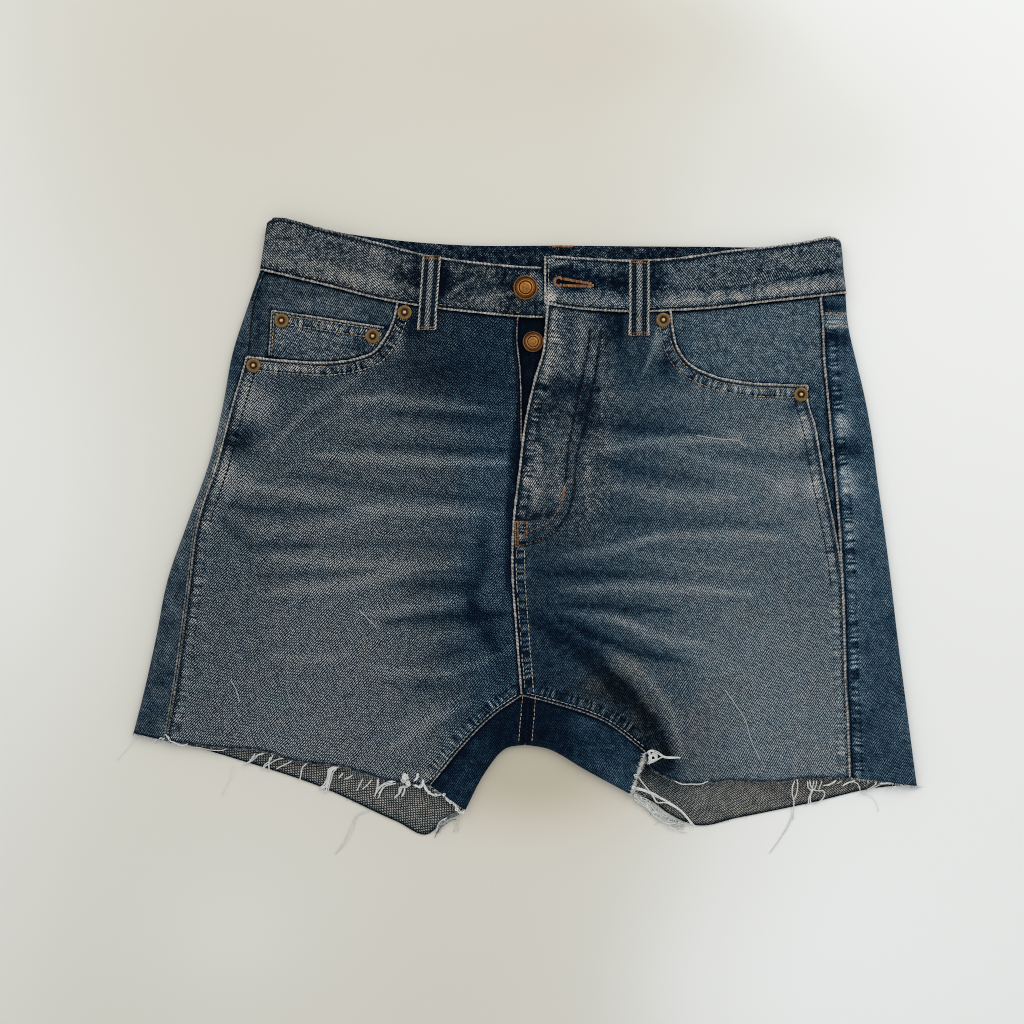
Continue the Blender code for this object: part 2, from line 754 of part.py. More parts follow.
def front_pieces(side):
    """Front panel of one side, cut away at the pocket mouth."""
    hip, leg = LEGS[side]
    edge_x = np.concatenate([hip["front_x"], leg["side_x"][1:]])
    edge_y = np.concatenate([hip["front_y"], leg["side_y"][1:]])
    levels_all = np.concatenate([hip["level"], leg["level"][1:]])
    crotch = hip["level"][-1]
    start = MOUTH_LEVEL
    if side == "right":
        rise = inner_line(hip, leg, "rise_y", "inseam", right_edge_at)
        waist = path(points_of(WAIST_RIGHT))
        mouth = path(points_of(MOUTH_RIGHT))
        end = mouth(np.ones(1))[0, 0]
        across = part_of(waist, at_x(waist, end), at_x(waist, RIGHT_EDGE["x"][0]))
    else:
        rise = inner_line(hip, leg, "rise_y", "inseam", flap_at)
        waist = path(points_of(WAIST_LEFT))
        mouth = path(points_of(MOUTH_LEFT)[::-1])
        end = mouth(np.ones(1))[0, 0]
        across = part_of(waist, at_x(waist, end), at_x(waist, FLAP["x"][0]))
    top = joined(mouth, across, MOUTH_SHARE)
    levels = section_levels(hip)
    levels = levels[levels >= start]
    corner = top(np.ones(1))[0]

    def outer_edge(level):
        return smooth(levels_all, np.stack([edge_x, edge_y], axis=-1), level)

    def inner_edge(level):
        """The rise or inseam, led to the waist seam over its top fifth."""
        share = np.clip((level - start) / (crotch - start), 0, 1)
        own = rise(np.where(level > crotch + 1e-9, level, share * crotch))
        return own + (corner - rise(np.zeros(1))[0]) * (1 - ease(share * 5))[..., None]

    columns = [np.linspace(0, MOUTH_SHARE, 12), np.linspace(MOUTH_SHARE, 1, 6)]
    shares = np.unique(np.concatenate(columns))
    plan = panel_plan(top, FRONT_HEM[side], outer_edge, inner_edge, shares, levels, crotch)
    plan = inset(plan, "top left right")
    net = cloth(plan, 1, flap=side == "left")
    wall("front_" + side, [net])
    HEM_EDGES[side, "front"] = net[0][-1]


def side_by_level(side, start, end):
    return lambda at: SIDE[side](start + (end - start) * np.asarray(at, float))


FACING_RIGHT_FOOT = (-86.0, 108.0)
FACING_LEFT_EDGE = table(
    "x y", (95, 118), (112, 96), (142, 86), (172, 76), (196, 40), (211, -8)
)
COIN_TOP = table("x y", (-177.1, 151.4), (-98.6, 139.5))
COIN_FOOT = table(
    "x y",
    (-179.2, 119.6),
    (-162.0, 117.6),
    (-134.4, 116.9),
    (-119.2, 119.4),
    (-107.4, 124.4),
    (-100.6, 132.0),
)
SHIELD_TOP = table("x y", (-14.0, 146.7), (36.0, 146.0))
SHIELD_FOOT = table("x y", (-14.0, -12.0), (22.0, -12.0))


def facings():
    """What shows inside the pocket mouths, under the front panels."""
    waist = path(points_of(WAIST_RIGHT))
    top = part_of(waist, 0, at_x(waist, -74.0))
    side = side_by_level("right", 0, 0.24)
    far = straight(top(np.ones(1))[0], FACING_RIGHT_FOOT)
    foot = straight(side(np.ones(1))[0], FACING_RIGHT_FOOT)
    facing("right", top, foot, side, far, 9, 7)

    waist = path(points_of(WAIST_LEFT))
    top = part_of(waist, at_x(waist, HIP_LEFT["side_x"][0]), at_x(waist, 90.0))
    side = side_by_level("left", 0, 0.50)
    far = path(np.concatenate([top(np.ones(1)), points_of(FACING_LEFT_EDGE)]))
    foot = straight(side(np.ones(1))[0], far(np.ones(1))[0])
    facing("left", top, foot, side, far, 8, 11)


def facing(name, top, foot, side, far, columns, rows):
    plan = patch(top, foot, side, far, np.linspace(0, 1, columns), np.linspace(0, 1, rows))
    net = cloth(inset(plan, "top left"), 1, drop=CLOTH + LAYER)
    wall("pocket_facing_" + name, [net], "denim_dark")


def coin_pocket():
    """Small pocket on the right facing, down to the mouth's edge."""
    top, foot = points_of(COIN_TOP), points_of(COIN_FOOT)
    left, right = straight(top[0], foot[0]), straight(top[-1], foot[-1])
    edges = path(top), path(foot), left, right
    plan = patch(*edges, np.linspace(0, 1, 7), np.linspace(0, 1, 3))
    wall("coin_pocket", [cloth(plan, 1, drop=LAYER - GAP)])


def fly_shield():
    """The button stand under the fly flap."""
    top, foot = points_of(SHIELD_TOP), points_of(SHIELD_FOOT)
    left, right = straight(top[0], foot[0]), straight(top[1], foot[1])
    edges = straight(*top), straight(*foot), left, right
    plan = patch(*edges, np.linspace(0, 1, 5), np.linspace(0, 1, 8))
    wall("fly_shield", [cloth(plan, 1, drop=CLOTH + LAYER)], "denim_dark")


def waistband():
    """One band: underlap end, right side, back, left side, overlap end."""
    depth = np.array([0.0, 0.3, 0.62, 1.0])[:, None, None]
    steps = BAND_RADIUS * (1 - np.cos(ROLL_TURNS))

    def run(upper, lower, columns, close):
        """Plan of one stretch; close names the ends that turn over a fold."""
        upper, lower = path(points_of(upper)), path(points_of(lower))
        length = np.linalg.norm(np.diff(upper(EVEN), axis=0), axis=1).sum()
        start = steps / length if "start" in close else np.zeros(1)
        end = steps / length if "end" in close else np.zeros(1)
        middle = np.linspace(start[-1], 1 - end[-1], columns)[1:-1]
        shares = np.concatenate([start, middle, (1 - end)[::-1]])
        plan = upper(shares) * (1 - depth) + lower(shares) * depth
        return inset(plan, "bottom")

    right = run(TOP_RIGHT, WAIST_RIGHT, 16, "start")
    back = run(BACK_TOP, BACK_SEAM, 20, "start end")
    left = run(TOP_LEFT, WAIST_LEFT, 16, "end")
    back[:, 0], back[:, -1] = right[:, 0], left[:, -1]
    lay = []
    for plan, face, folds, extra in (
        (right, 1, [0], band_extra(right, "underlap")),
        (back, -1, [0, -1], 0.0),
        (left, 1, [-1], band_extra(left, "overlap")),
    ):
        faces = np.full(plan.shape[:2], face)
        faces[:, folds] = 0
        lay.append(skins(plan, faces, BAND, BAND_RADIUS, BAND_LINES, extra, back_lift(plan)))
    wall("waistband", lay, "denim_band")


LOOP_HALF = 7.2
LOOP_STEP = (1.0, 3.6)  # a loop steps down over this stretch below the waist seam
FRONT_LOOPS = table("x top seam foot", (-66.8, 188.2, 153.7, 137.5), (79.5, 185.2, 150.4, 133.5))
BACK_LOOPS = table(
    "x top foot", (-118.0, 202.0, 148.0), (26.0, 196.4, 144.0), (164.0, 195.4, 145.0)
)


def belt_loops():
    """Front loops bent over the waistband's lower edge, back loops pressed flat."""
    for side, x, top, seam, foot in zip(("right", "left"), *FRONT_LOOPS.values()):
        step = seam - LOOP_STEP[0], seam - LOOP_STEP[1]
        ys = np.array([top, (top + seam) / 2, *step, step[1] - 5.0, foot])[:, None]
        xs = np.array([x - LOOP_HALF, x, x + LOOP_HALF])[None]
        plan = np.stack(np.broadcast_arrays(xs, ys), axis=-1)
        extra = band_extra(plan, "underlap" if side == "right" else "overlap")
        band = skins(plan, 1, BAND, BAND_RADIUS, BAND_LINES, extra, 0.0)[0][..., 2]
        panel = cloth(plan, 1, flap=side == "left")[0][..., 2]
        below = np.where(ys > np.mean(step), band, panel).max(axis=1, keepdims=True) + GAP
        below = np.broadcast_to(below, plan.shape[:2])[..., None]
        outer = np.concatenate([plan, below + LOOP], axis=-1)
        inner = np.concatenate([plan, below], axis=-1)
        wall("belt_loop_front_" + side, [(outer, inner)], "denim_band")
    for side, x, top, foot in zip(("right", "center", "left"), *BACK_LOOPS.values()):
        low, high = x - LOOP_HALF, x + LOOP_HALF
        corners = [(low, foot), (high, foot), (high, top), (low, top)]
        plate("belt_loop_back_" + side, corners, 0.0, CLOTH, "denim_band")


BACK_POCKET = table("x y", (-155, 124), (-148, 10), (-96, -10), (-50, -4), (-45, 98))
POCKETS_MIDDLE = 17.5  # x of the seat seam at the pockets' height


def back_pockets():
    """Five-sided patch pockets, flat under the back panels."""
    for side in ("right", "left"):
        x = BACK_POCKET["x"] if side == "right" else 2 * POCKETS_MIDDLE - BACK_POCKET["x"]
        plate("back_pocket_" + side, list(zip(x, BACK_POCKET["y"])), 0.0, CLOTH, "denim_dark")


BUTTON_PROFILE = table(  # shares of the radius and the height
    "radius height",
    (0.00, 0.00),
    (0.50, 0.00),
    (0.50, 0.30),
    (1.00, 0.36),
    (1.00, 0.75),
    (0.93, 0.90),
    (0.84, 0.86),
    (0.55, 0.80),
    (0.50, 0.95),
    (0.30, 1.00),
    (0.00, 1.00),
)
MAIN_BUTTON = {"x": 0.3, "y": 166.6, "radius": 8.5, "height": 3.8}
FLY_BUTTON = {"x": 5.6, "y": 129.5, "radius": 7.25, "height": 3.4}
RIVET_PROFILE = table(
    "radius height",
    (0.0, 0.0),
    (5.0, 0.0),
    (5.0, 0.6),
    (4.5, 1.1),
    (2.2, 0.8),
    (1.6, 1.5),
    (0.0, 1.7),
)
RIVET_NAMES = ("coin_outer", "coin_inner", "right_top", "right_side", "left_top", "left_side")
RIVETS = table(  # drop: how far the piece under it lies below a front panel's face
    "x y drop",
    (-170.1, 144.2, LAYER - GAP),
    (-106.4, 133.3, LAYER - GAP),
    (-84.0, 149.7, 0),
    (-189.8, 112.9, 0),
    (96.4, 144.4, 0),
    (192.9, 92.6, 0),
)


def buttons():
    """Tack buttons: a shank, and a cap with a raised rim and ring."""
    x, y = FLY_BUTTON["x"], FLY_BUTTON["y"]
    band_face = 2 * BAND_RADIUS - UNDERLAP_DIP
    shield_face = seat_height(x, y, FLY_BUTTON["radius"] * 0.8) - CLOTH - LAYER
    for name, size, face in (
        ("main_button", MAIN_BUTTON, band_face),
        ("fly_button", FLY_BUTTON, shield_face),
    ):
        radii = BUTTON_PROFILE["radius"] * size["radius"]
        heights = BUTTON_PROFILE["height"] * size["height"]
        turned(name, list(zip(radii, heights)), (size["x"], size["y"], face + GAP), "brass")


def rivets():
    """Rivets: a low dished disc with a nub."""
    profile = list(zip(*RIVET_PROFILE.values()))
    for name, x, y, drop in zip(RIVET_NAMES, *RIVETS.values()):
        seat = seat_height(x, y, RIVET_PROFILE["radius"].max(), flap="left" in name) - drop
        turned("rivet_" + name, profile, (x, y, seat + GAP), "copper", sides=16)


# ---- fringe ----
STRIP_WIDE, STRIP_THICK = 1.2, 0.6  # the narrow strip that the strands grow from
STRAND_REACH = 9.0
NOTCH = 9.0  # the left fringe passes this far below the curled corner of its hem
BARE = 17.0  # and has no strands this close to it
FRONT_FLOOR, BACK_FLOOR = 2.2, 0.3  # height of the strands' tips
GROWTH = table("part bend slim", (0.4, 0.3, 0.8), (0.6, 1.0, 0.45))  # a strand's two stretches
TUFTS = {  # long strands: where they root, how long they are and how far they lean
    "front_right": table(
        "x length lean",
        (-272.0, 14.0, -0.6),
        (-184.0, 13.0, -0.6),
        (-160.0, 16.0, -0.2),
        (-132.0, 19.0, -0.3),
        (-87.0, 15.0, -0.4),
    ),
    "back_right": table("x length lean", (-119.0, 34.0, -0.5), (-64.0, 9.0, 0.5)),
    "front_left": table(
        "x length lean",
        (189.0, 22.0, 0.1),
        (205.0, 16.0, 0.4),
        (232.0, 15.0, -0.5),
        (272.0, 9.0, 0.6),
    ),
    "back_left": table("x length lean", (190.0, 33.0, -0.5), (120.0, 10.0, 0.4)),
}


def rim_stations(rim, spots, kept):
    """Points of the rim at its corners and at both sides of each kept strand's root."""
    steps = np.linalg.norm(np.diff(rim[:, :2], axis=0), axis=1)
    shares = np.concatenate([[0], np.cumsum(steps)])
    corner = shares[np.abs(spots[:, None] - shares).argmin(axis=1)]
    clash = np.abs(spots - corner) < 2 * STRIP_THICK
    spots = np.where(clash, corner + 2 * STRIP_THICK, spots)
    kept = kept & (spots < shares[-1] - 2 * STRIP_THICK)
    stations = np.unique(np.concatenate([shares, spots[kept], spots[kept] + STRIP_THICK]))
    points = np.stack([np.interp(stations, shares, rim[:, i]) for i in range(3)], axis=-1)
    run = np.diff(rim[:, :2], axis=0) / steps[:, None]
    aside = np.stack([run[:, 1], -run[:, 0]], axis=-1)
    aside *= np.sign(-np.sum(aside[:, 1]))
    last = len(aside) - 1
    before = aside[np.clip(np.searchsorted(shares, stations - 1e-6) - 1, 0, last)]
    after = aside[np.clip(np.searchsorted(shares, stations + 1e-6) - 1, 0, last)]
    out = before + after
    out /= np.sum(out * before, axis=1, keepdims=True)  # mitred at the rim's corners
    return points, out, np.searchsorted(stations, spots[kept] - 1e-9), kept


def fringe(name, rim, lowest, floor, count, seed, bare_at=None):
    """A narrow strip along a raw hem with strands fused to it by their roots."""
    rng = np.random.default_rng(seed)
    along = np.concatenate([[0], np.cumsum(np.linalg.norm(np.diff(rim[:, :2], axis=0), axis=1))])
    length = along[-1]
    spots = (np.arange(count) + 0.5 + rng.uniform(-0.3, 0.3, count)) / count * length
    sizes = STRAND_REACH * rng.uniform(0.45, 1.25, count)
    leans = rng.uniform(-0.5, 0.5, count)
    kept = np.ones(count, bool)
    if bare_at is not None:
        places = np.stack([np.interp(spots, along, rim[:, i]) for i in range(2)], axis=-1)
        kept = np.linalg.norm(places - bare_at, axis=1) > BARE
    points, out, roots, kept = rim_stations(rim, spots, kept)
    sizes, leans = sizes[kept], leans[kept]
    for x, size, lean in zip(*TUFTS[name].values()):
        pick = np.abs(points[roots, 0] - x).argmin()
        sizes[pick], leans[pick] = size, lean
    rooted = {root: grown for root, *grown in zip(roots, sizes, leans)}
    near, far = points[:, :2] + out * GAP, points[:, :2] + out * (GAP + STRIP_WIDE)
    low = lowest(points[:, 2])

    def make(net):
        rings = []
        for a, b, z in zip(near, far, low):
            corners = ((*a, z), (*a, z + STRIP_THICK), (*b, z + STRIP_THICK), (*b, z))
            rings.append([net.verts.new(corner) for corner in corners])
        net.faces.new(rings[0])
        net.faces.new(rings[-1][::-1])
        for row, (one, two) in enumerate(zip(rings, rings[1:])):
            for i in range(4):
                j = (i + 1) % 4
                face = net.faces.new([one[i], one[j], two[j], two[i]])
                if i == 2 and row in rooted:
                    grow(net, face, out[row], floor - low[row], *rooted[row])

    add_object("fringe_" + name, make, "thread")


def grow(net, face, way, drop, size, lean):
    """Draw a strand out of the strip's outer face; lean is towards +X."""
    side = np.array([1.0, 0.0])
    way = np.array([0.0, -1.0]) if size > 2 * STRAND_REACH else way
    for part, bend, slim in zip(*GROWTH.values()):
        face = bmesh.ops.extrude_discrete_faces(net, faces=[face])["faces"][0]
        step = (way + side * lean * bend) * size * part
        center = face.calc_center_median()
        for vert in face.verts:
            vert.co = center + (vert.co - center) * slim
            vert.co += Vector((step[0], step[1], drop * part))


def fringes():
    """Fringe of the front and back hem of each leg."""
    for side, seed, clear in (("right", 3, 0.0), ("left", 5, NOTCH)):
        strip, front = HEM_EDGES[side, "strip"], HEM_EDGES[side, "front"]
        thigh, back = HEM_EDGES[side, "thigh"], HEM_EDGES[side, "back"]
        notch = thigh[-1, :2]
        beside = np.linalg.norm(front[:, :2] - notch, axis=1)
        below = np.linalg.norm(thigh[:, :2] - notch, axis=1)
        front = front[1:][beside[1:] > max(clear, FOLD_RADIUS)]
        rim = np.concatenate([strip[3:], front, thigh[below >= clear][::-1][:-3]])
        bare_at = notch if side == "left" else None
        fringe("front_" + side, rim, lambda z: z - 1.0, FRONT_FLOOR, 26, seed, bare_at)
        fringe("back_" + side, back[3:-3], lambda z: 0 * z + 0.3, BACK_FLOOR, 24, seed + 10)


def center_on_floor():
    """Set the origin at the middle of the whole box, on the floor, in metres."""
    corners = np.array([vert.co for thing in MADE for vert in thing.data.vertices])
    low, high = corners.min(axis=0), corners.max(axis=0)
    middle = np.array([(low[0] + high[0]) / 2, (low[1] + high[1]) / 2, low[2]])
    for thing in MADE:
        for vert in thing.data.vertices:
            vert.co = [(value - shift) * MM for value, shift in zip(vert.co, middle)]


clear_scene()
FINISH.update(
    denim=material("denim", (0.075, 0.11, 0.15), 0.9),
    denim_dark=material("denim_dark", (0.035, 0.06, 0.09), 0.9),
    denim_band=material("denim_band", (0.07, 0.095, 0.12), 0.9),
    thread=material("thread", (0.75, 0.75, 0.72), 0.95),
    brass=material("brass", (0.3, 0.16, 0.05), 0.4, 1.0),
    copper=material("copper", (0.16, 0.07, 0.03), 0.5, 1.0),
)
for side in ("right", "left"):
    back_pieces(side)
    front_pieces(side)
facings()
coin_pocket()
fly_shield()
waistband()
belt_loops()
back_pockets()
buttons()
rivets()
fringes()
center_on_floor()
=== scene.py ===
import bpy
import numpy as np
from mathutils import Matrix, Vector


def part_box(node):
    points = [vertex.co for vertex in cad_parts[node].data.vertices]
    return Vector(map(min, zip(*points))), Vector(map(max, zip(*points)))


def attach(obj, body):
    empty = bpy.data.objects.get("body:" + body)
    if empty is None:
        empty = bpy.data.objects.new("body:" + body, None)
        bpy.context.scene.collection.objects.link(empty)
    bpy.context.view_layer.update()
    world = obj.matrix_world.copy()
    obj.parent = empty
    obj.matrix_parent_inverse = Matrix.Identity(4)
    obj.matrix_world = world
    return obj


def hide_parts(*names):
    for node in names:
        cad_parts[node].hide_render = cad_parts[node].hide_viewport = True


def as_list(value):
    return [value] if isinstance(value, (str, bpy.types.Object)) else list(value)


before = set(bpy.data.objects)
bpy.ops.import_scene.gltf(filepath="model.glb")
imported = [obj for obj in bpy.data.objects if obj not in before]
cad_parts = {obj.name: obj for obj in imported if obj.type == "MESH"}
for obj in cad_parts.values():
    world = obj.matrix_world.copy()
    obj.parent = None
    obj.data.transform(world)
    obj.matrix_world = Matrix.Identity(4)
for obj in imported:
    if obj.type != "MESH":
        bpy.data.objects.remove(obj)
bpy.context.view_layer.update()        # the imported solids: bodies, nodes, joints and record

# Shapes are worked out in millimetres on the cutting table: waist to +Y, legs to -Y,
# "right" and "left" are the wearer's. tableToFrame turns them into the frame's metres.
mm = 0.001
tiny = 1e-9
buttonTableSpot = np.array([0.3, 166.6])
buttonLow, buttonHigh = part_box("main_button")
buttonFrameSpot = (np.array(buttonLow) + np.array(buttonHigh))[:2] / 2
tableShift = np.append(buttonFrameSpot - buttonTableSpot * mm, 0.0)


def tableToFrame(points):
    return np.asarray(points, float) * mm + tableShift


def table(columns, text):
    # columns of numbers by name, from rows parted by commas
    rows = np.array([row.split() for row in text.split(",")], float)
    return dict(zip(columns.split(), rows.T))


print("shorts: tables of the cut")

cut = {
    "clothThick": 1.2,
    "bandThick": 2.6,
    "loopThick": 1.6,
    "gap": 0.3,
    "seamInset": 0.2,
    "layer": 0.5,
    "foldRadius": 3.2,
    "bandRadius": 4.65,
    "backLift": 1.5,
    "liftStart": 14.0,
    "liftRun": 14.0,
    "easeRun": 22.0,
    "waistRise": 2.0,
    "waistRun": 22.0,
    "underlapDip": 1.3,
    "overlapRise": 1.7,
    "flapRise": 1.7,
    "hipFade": 1.5,
    "legFade": 7.0,
    "mouthLevel": 0.19,
    "mouthShare": 0.58,
}

# Sections down the hips and legs: side fold, side seam, front panel's edge, and where
# each meets the seat seam underneath, the rise seam on top, or the inner leg.
hipColumns = "level foldX foldY sideX sideY frontX frontY seatY riseY"
hips = {
    "right": table(hipColumns, """
        0 -185.8 180.2 -182.2 179.3 -182.2 179.3 161.7 146.3,
        .067 -193.2 158.9 -189.7 158.2 -189.7 158.2 104.3 127.4,
        .19 -205.8 119.7 -194.9 119 -194.9 119 57.4 88.9, .283 -211.4 88.9 -204 87.5 -204 87.5 18.9 50.4,
        .41 -221.2 46.9 -215.2 45.5 -215.2 45.5 -26.6 10.5,
        .545 -236.2 4.9 -228.9 2.8 -228.9 2.8 -70.7 -31.5,
        .676 -250.9 -37.1 -234.8 -39.9 -234.8 -39.9 -112 -73.5,
        .803 -259.3 -79.1 -240.4 -82.6 -240.4 -82.6 -153 -117.6"""),
    "left": table(hipColumns, """
        0 225.1 163.8 206.9 160.6 206.9 160.6 161.7 153.3,
        .054 226.4 144.9 208.6 144.9 208.6 144.9 104.3 136.5,
        .136 232.4 116.9 210 115.5 210 115.5 66.5 108.5, .19 236.9 98.7 211.7 98.7 198.1 98.7 42 85.4,
        .28 242.9 67.9 214.5 67.9 203.3 67.9 8.4 57.4, .38 247.4 33.6 217.7 33.6 209.3 33.6 -26.6 21,
        .48 252.3 -1.4 220.7 -1.4 216.6 -1.4 -59.5 -14.7,
        .584 256.9 -37.1 222.6 -37.1 222.1 -37.1 -89.6 -44.1,
        .705 261.8 -79.1 224 -79.1 223.9 -79.1 -123.2 -82.6,
        .8 266.3 -114.1 225 -114.1 225 -114.1 -153 -117.6"""),
}
legColumns = "level foldX foldY sideX sideY innerX innerY inseamX inseamY"
legs = {
    "right": table(legColumns, """
        .803 -259.3 -79.1 -240.4 -82.6 0 -153 -2.4 -117.6,
        .87 -264.2 -101.5 -243.6 -105.3 -15.4 -156.8 -23.1 -132.3,
        .93 -268.8 -121.1 -247.1 -126 -28.7 -173.6 -43.4 -152.6,
        1 -274.8 -144.2 -251.3 -149.5 -41.6 -198.4 -66.5 -180.6"""),
    "left": table(legColumns, """
        .8 266.3 -114.1 225 -114.1 0 -153 -2.4 -117.6,
        .85 268.5 -130.9 226.1 -129.5 16.8 -156.1 19.6 -123.2,
        .92 271.6 -154.7 226.9 -150.5 42.7 -170.8 56.7 -136.5,
        1 275.1 -181.3 227.7 -175.3 74.2 -187.9 84 -156.8"""),
}
yokeLevel = {"right": 0.067, "left": 0.054}
seatTop, seatFoot = (25.9, 161.7), (0.0, -153.0)

flapEdge = table("y x", """
    158.9 16.4, 139.3 14.5, 122.5 12.9, 106.4 8, 77 1.1, 38.5 -3.8, 4.2 -7.8, -28.7 -8.8, -73.5 -5.9,
    -117.6 -2.4""")
rightEdge = table("y x", "150.5 -4.2, 133 -5.2, 111.3 -3.1, 74.9 -2.1, 30 -2.4")

waistSeam = {
    "right": table("x y", """
        -185.8 180.2, -162 174.5, -133.3 167.6, -102.2 159.6, -77 155.1, -37.1 150.1, -3.5 147.3,
        42 146.3"""),
    "left": table("x y", """
        14 155.6, 33.6 152.6, 70 150.4, 107.1 151.5, 134 153.3, 161 156.5, 198.1 160.6, 225.1 163.8"""),
    "back": table("x y", "-185.8 180.2, -101.5 170, 25.9 161.7, 117.6 161.7, 225.1 163.8"),
}
bandTop = {
    "right": table("x y", """
        -180.6 212.8, -174.3 215, -162 213.4, -145.6 208.6, -124.6 203.6, -99.4 197, -69.3 189.3,
        -37.1 184.5, -3.5 181.6, 42 180.6"""),
    "left": table("x y", """
        14 188.6, 45.5 186.5, 67.2 185.5, 102.2 186.9, 147.7 192.9, 171.5 195.3, 198.1 199.1, 214.9 201.5,
        221.2 199"""),
    "back": table("x y", """
        -180.6 212.8, -157.5 211, -131.6 206.8, -80.5 200.2, -43.4 197.7, 25.9 197.4, 117.6 196.7,
        180 196.5, 221.2 199"""),
}
mouthEdge = {
    "right": table("x y", """
        -194.9 119, -162 115.8, -134.4 115.1, -118.3 117.6, -105.7 122.5, -98.3 131.6, -92 144.2,
        -88.9 156.8"""),
    "left": table("x y", """
        198.1 98.7, 182 99.4, 155.4 100.8, 128.8 106.7, 114.8 114.1, 107.1 123.9, 102.9 140, 101.5 151.2"""),
}
frontHem = {
    "right": table("x y", """
        -251.3 -149.5, -208.6 -154.3, -186.9 -155.4, -160.3 -163.1, -131.6 -166.6, -91 -177.8,
        -66.5 -180.6"""),
    "left": table("x y", """
        227.7 -175.3, 189.7 -175.7, 178.5 -177.7, 150.5 -176.8, 104.6 -176.8, 87.5 -166.6, 84 -156.8"""),
}
backHem = {
    "right": table("x y", """
        -274.8 -144.2, -249.2 -150.5, -202.3 -163.8, -143.1 -183.4, -90.3 -207.5, -67.9 -216.3,
        -61.6 -211.4, -55.3 -204.4, -41.6 -198.4"""),
    "left": table("x y", """
        275.1 -181.3, 247.1 -183.9, 200.2 -194.6, 149.8 -204.9, 121.5 -210.2, 100.8 -201.6, 88.2 -192.5,
        74.2 -187.9"""),
}

# The largest folds, as soft ridges along lines.
folds = table("x0 y0 x1 y1 height spread", """
    86 -158 94 -172 2.6 9, 118 -120 108 -176 1 11, -215 -150 -130 -164 .9 12, -90 -110 -52 -172 .9 14,
    150 -172 215 -170 .8 13, -150 60 -60 40 .7 16, 60 30 160 15 .7 16, 205 90 213 20 .6 6,
    -205 80 -222 20 .6 7""")


def smooth(knots, values, at):
    # a smooth curve through the values at the knots
    knots, values, at = (np.asarray(a, float) for a in (knots, values, at))
    gaps = np.diff(knots)
    extra = [1] * (values.ndim - 1)
    slopes = np.diff(values, axis=0) / gaps.reshape(-1, *extra)
    before, after = gaps[:-1], gaps[1:]
    weights = (after / (before + after)).reshape(-1, *extra)
    inner = slopes[:-1] * weights + slopes[1:] * (1 - weights)
    tangents = np.concatenate([slopes[:1], inner, slopes[-1:]])
    spot = np.clip(np.searchsorted(knots, at, side="right") - 1, 0, len(gaps) - 1)
    gap = gaps[spot].reshape(*at.shape, *extra)
    share = np.clip((at - knots[spot]) / gaps[spot], 0, 1).reshape(*at.shape, *extra)
    start, end = values[spot], values[spot + 1]
    leave, arrive = tangents[spot] * gap, tangents[spot + 1] * gap
    return (
        start * (1 + 2 * share) * (1 - share) ** 2
        + leave * share * (1 - share) ** 2
        + end * share**2 * (3 - 2 * share)
        + arrive * share**2 * (share - 1)
    )


def ease(share):
    share = np.clip(share, 0, 1)
    return share * share * (3 - 2 * share)


def ramp(value, start, end):
    return ease((value - start) / (end - start))


def unit(vectors, least=1e-9):
    return vectors / np.maximum(np.linalg.norm(vectors, axis=-1, keepdims=True), least)


def raised(plan, height):
    # plan points with a height each
    return np.concatenate([plan, np.broadcast_to(height, plan.shape[:-1])[..., None]], axis=-1)


def pointsOf(line, x="x", y="y"):
    return np.stack([line[x], line[y]], axis=-1)


def pointsFrom(text):
    return pointsOf(table("x y", text))


def path(points):
    points = np.asarray(points, float)
    steps = np.linalg.norm(np.diff(points, axis=0), axis=1)
    knots = np.concatenate([[0], np.cumsum(steps)]) / steps.sum()
    return lambda at: smooth(knots, points, at)


def lineOf(edge):
    return path(pointsOf(edge))


def straight(start, end):
    start, end = np.asarray(start, float), np.asarray(end, float)
    return lambda at: start + (end - start) * np.asarray(at, float)[..., None]


def atEnd(line, share=1.0):
    return line(np.array([share]))[0]


def joined(first, second, share):
    def read(at):
        at = np.asarray(at, float)
        early = first(np.clip(at / share, 0, 1))
        late = second(np.clip((at - share) / (1 - share), 0, 1))
        return np.where((at < share)[..., None], early, late)

    return read


def partOf(line, start, end):
    return lambda at: line(start + (end - start) * np.asarray(at, float))


def atX(line, x):
    shares = np.linspace(0, 1, 400)
    xs = line(shares)[:, 0]
    order = np.argsort(xs)
    return float(np.interp(x, xs[order], shares[order]))


def patch(top, bottom, left, right, shares, levels, fade=1.0):
    # a net fitted to four edges; the top's and bottom's shapes fade out across it
    shares = np.broadcast_to(shares, (len(levels), np.shape(shares)[-1]))
    u, v = shares[..., None], np.asarray(levels, float)[:, None, None]
    plan = (1 - u) * left(levels)[:, None] + u * right(levels)[:, None]
    for edge, weight in ((top, (1 - v) ** fade), (bottom, v**fade)):
        start, end = edge(np.array([0.0, 1.0]))
        plan = plan + weight * (edge(shares) - start - (end - start) * u)
    return plan


def panelPlan(top, hem, outer, inner, shares, levels, crotch):
    row = straight(atEnd(outer, crotch), atEnd(inner, crotch))
    above, below = levels <= crotch + tiny, levels > crotch + tiny
    shares = np.broadcast_to(shares, (len(levels), np.shape(shares)[-1]))

    def stretch(rows, first, last, upper, lower, fade):
        left, right = partOf(outer, first, last), partOf(inner, first, last)
        return patch(upper, lower, left, right, shares[rows], (levels[rows] - first) / (last - first), fade)

    hip = stretch(above, levels[0], crotch, top, row, cut["hipFade"])
    leg = stretch(below, crotch, 1.0, row, hem, cut["legFade"])
    return np.concatenate([hip, leg])


rollSteps = 1 - np.cos(np.radians(np.linspace(0, 90, 8)))


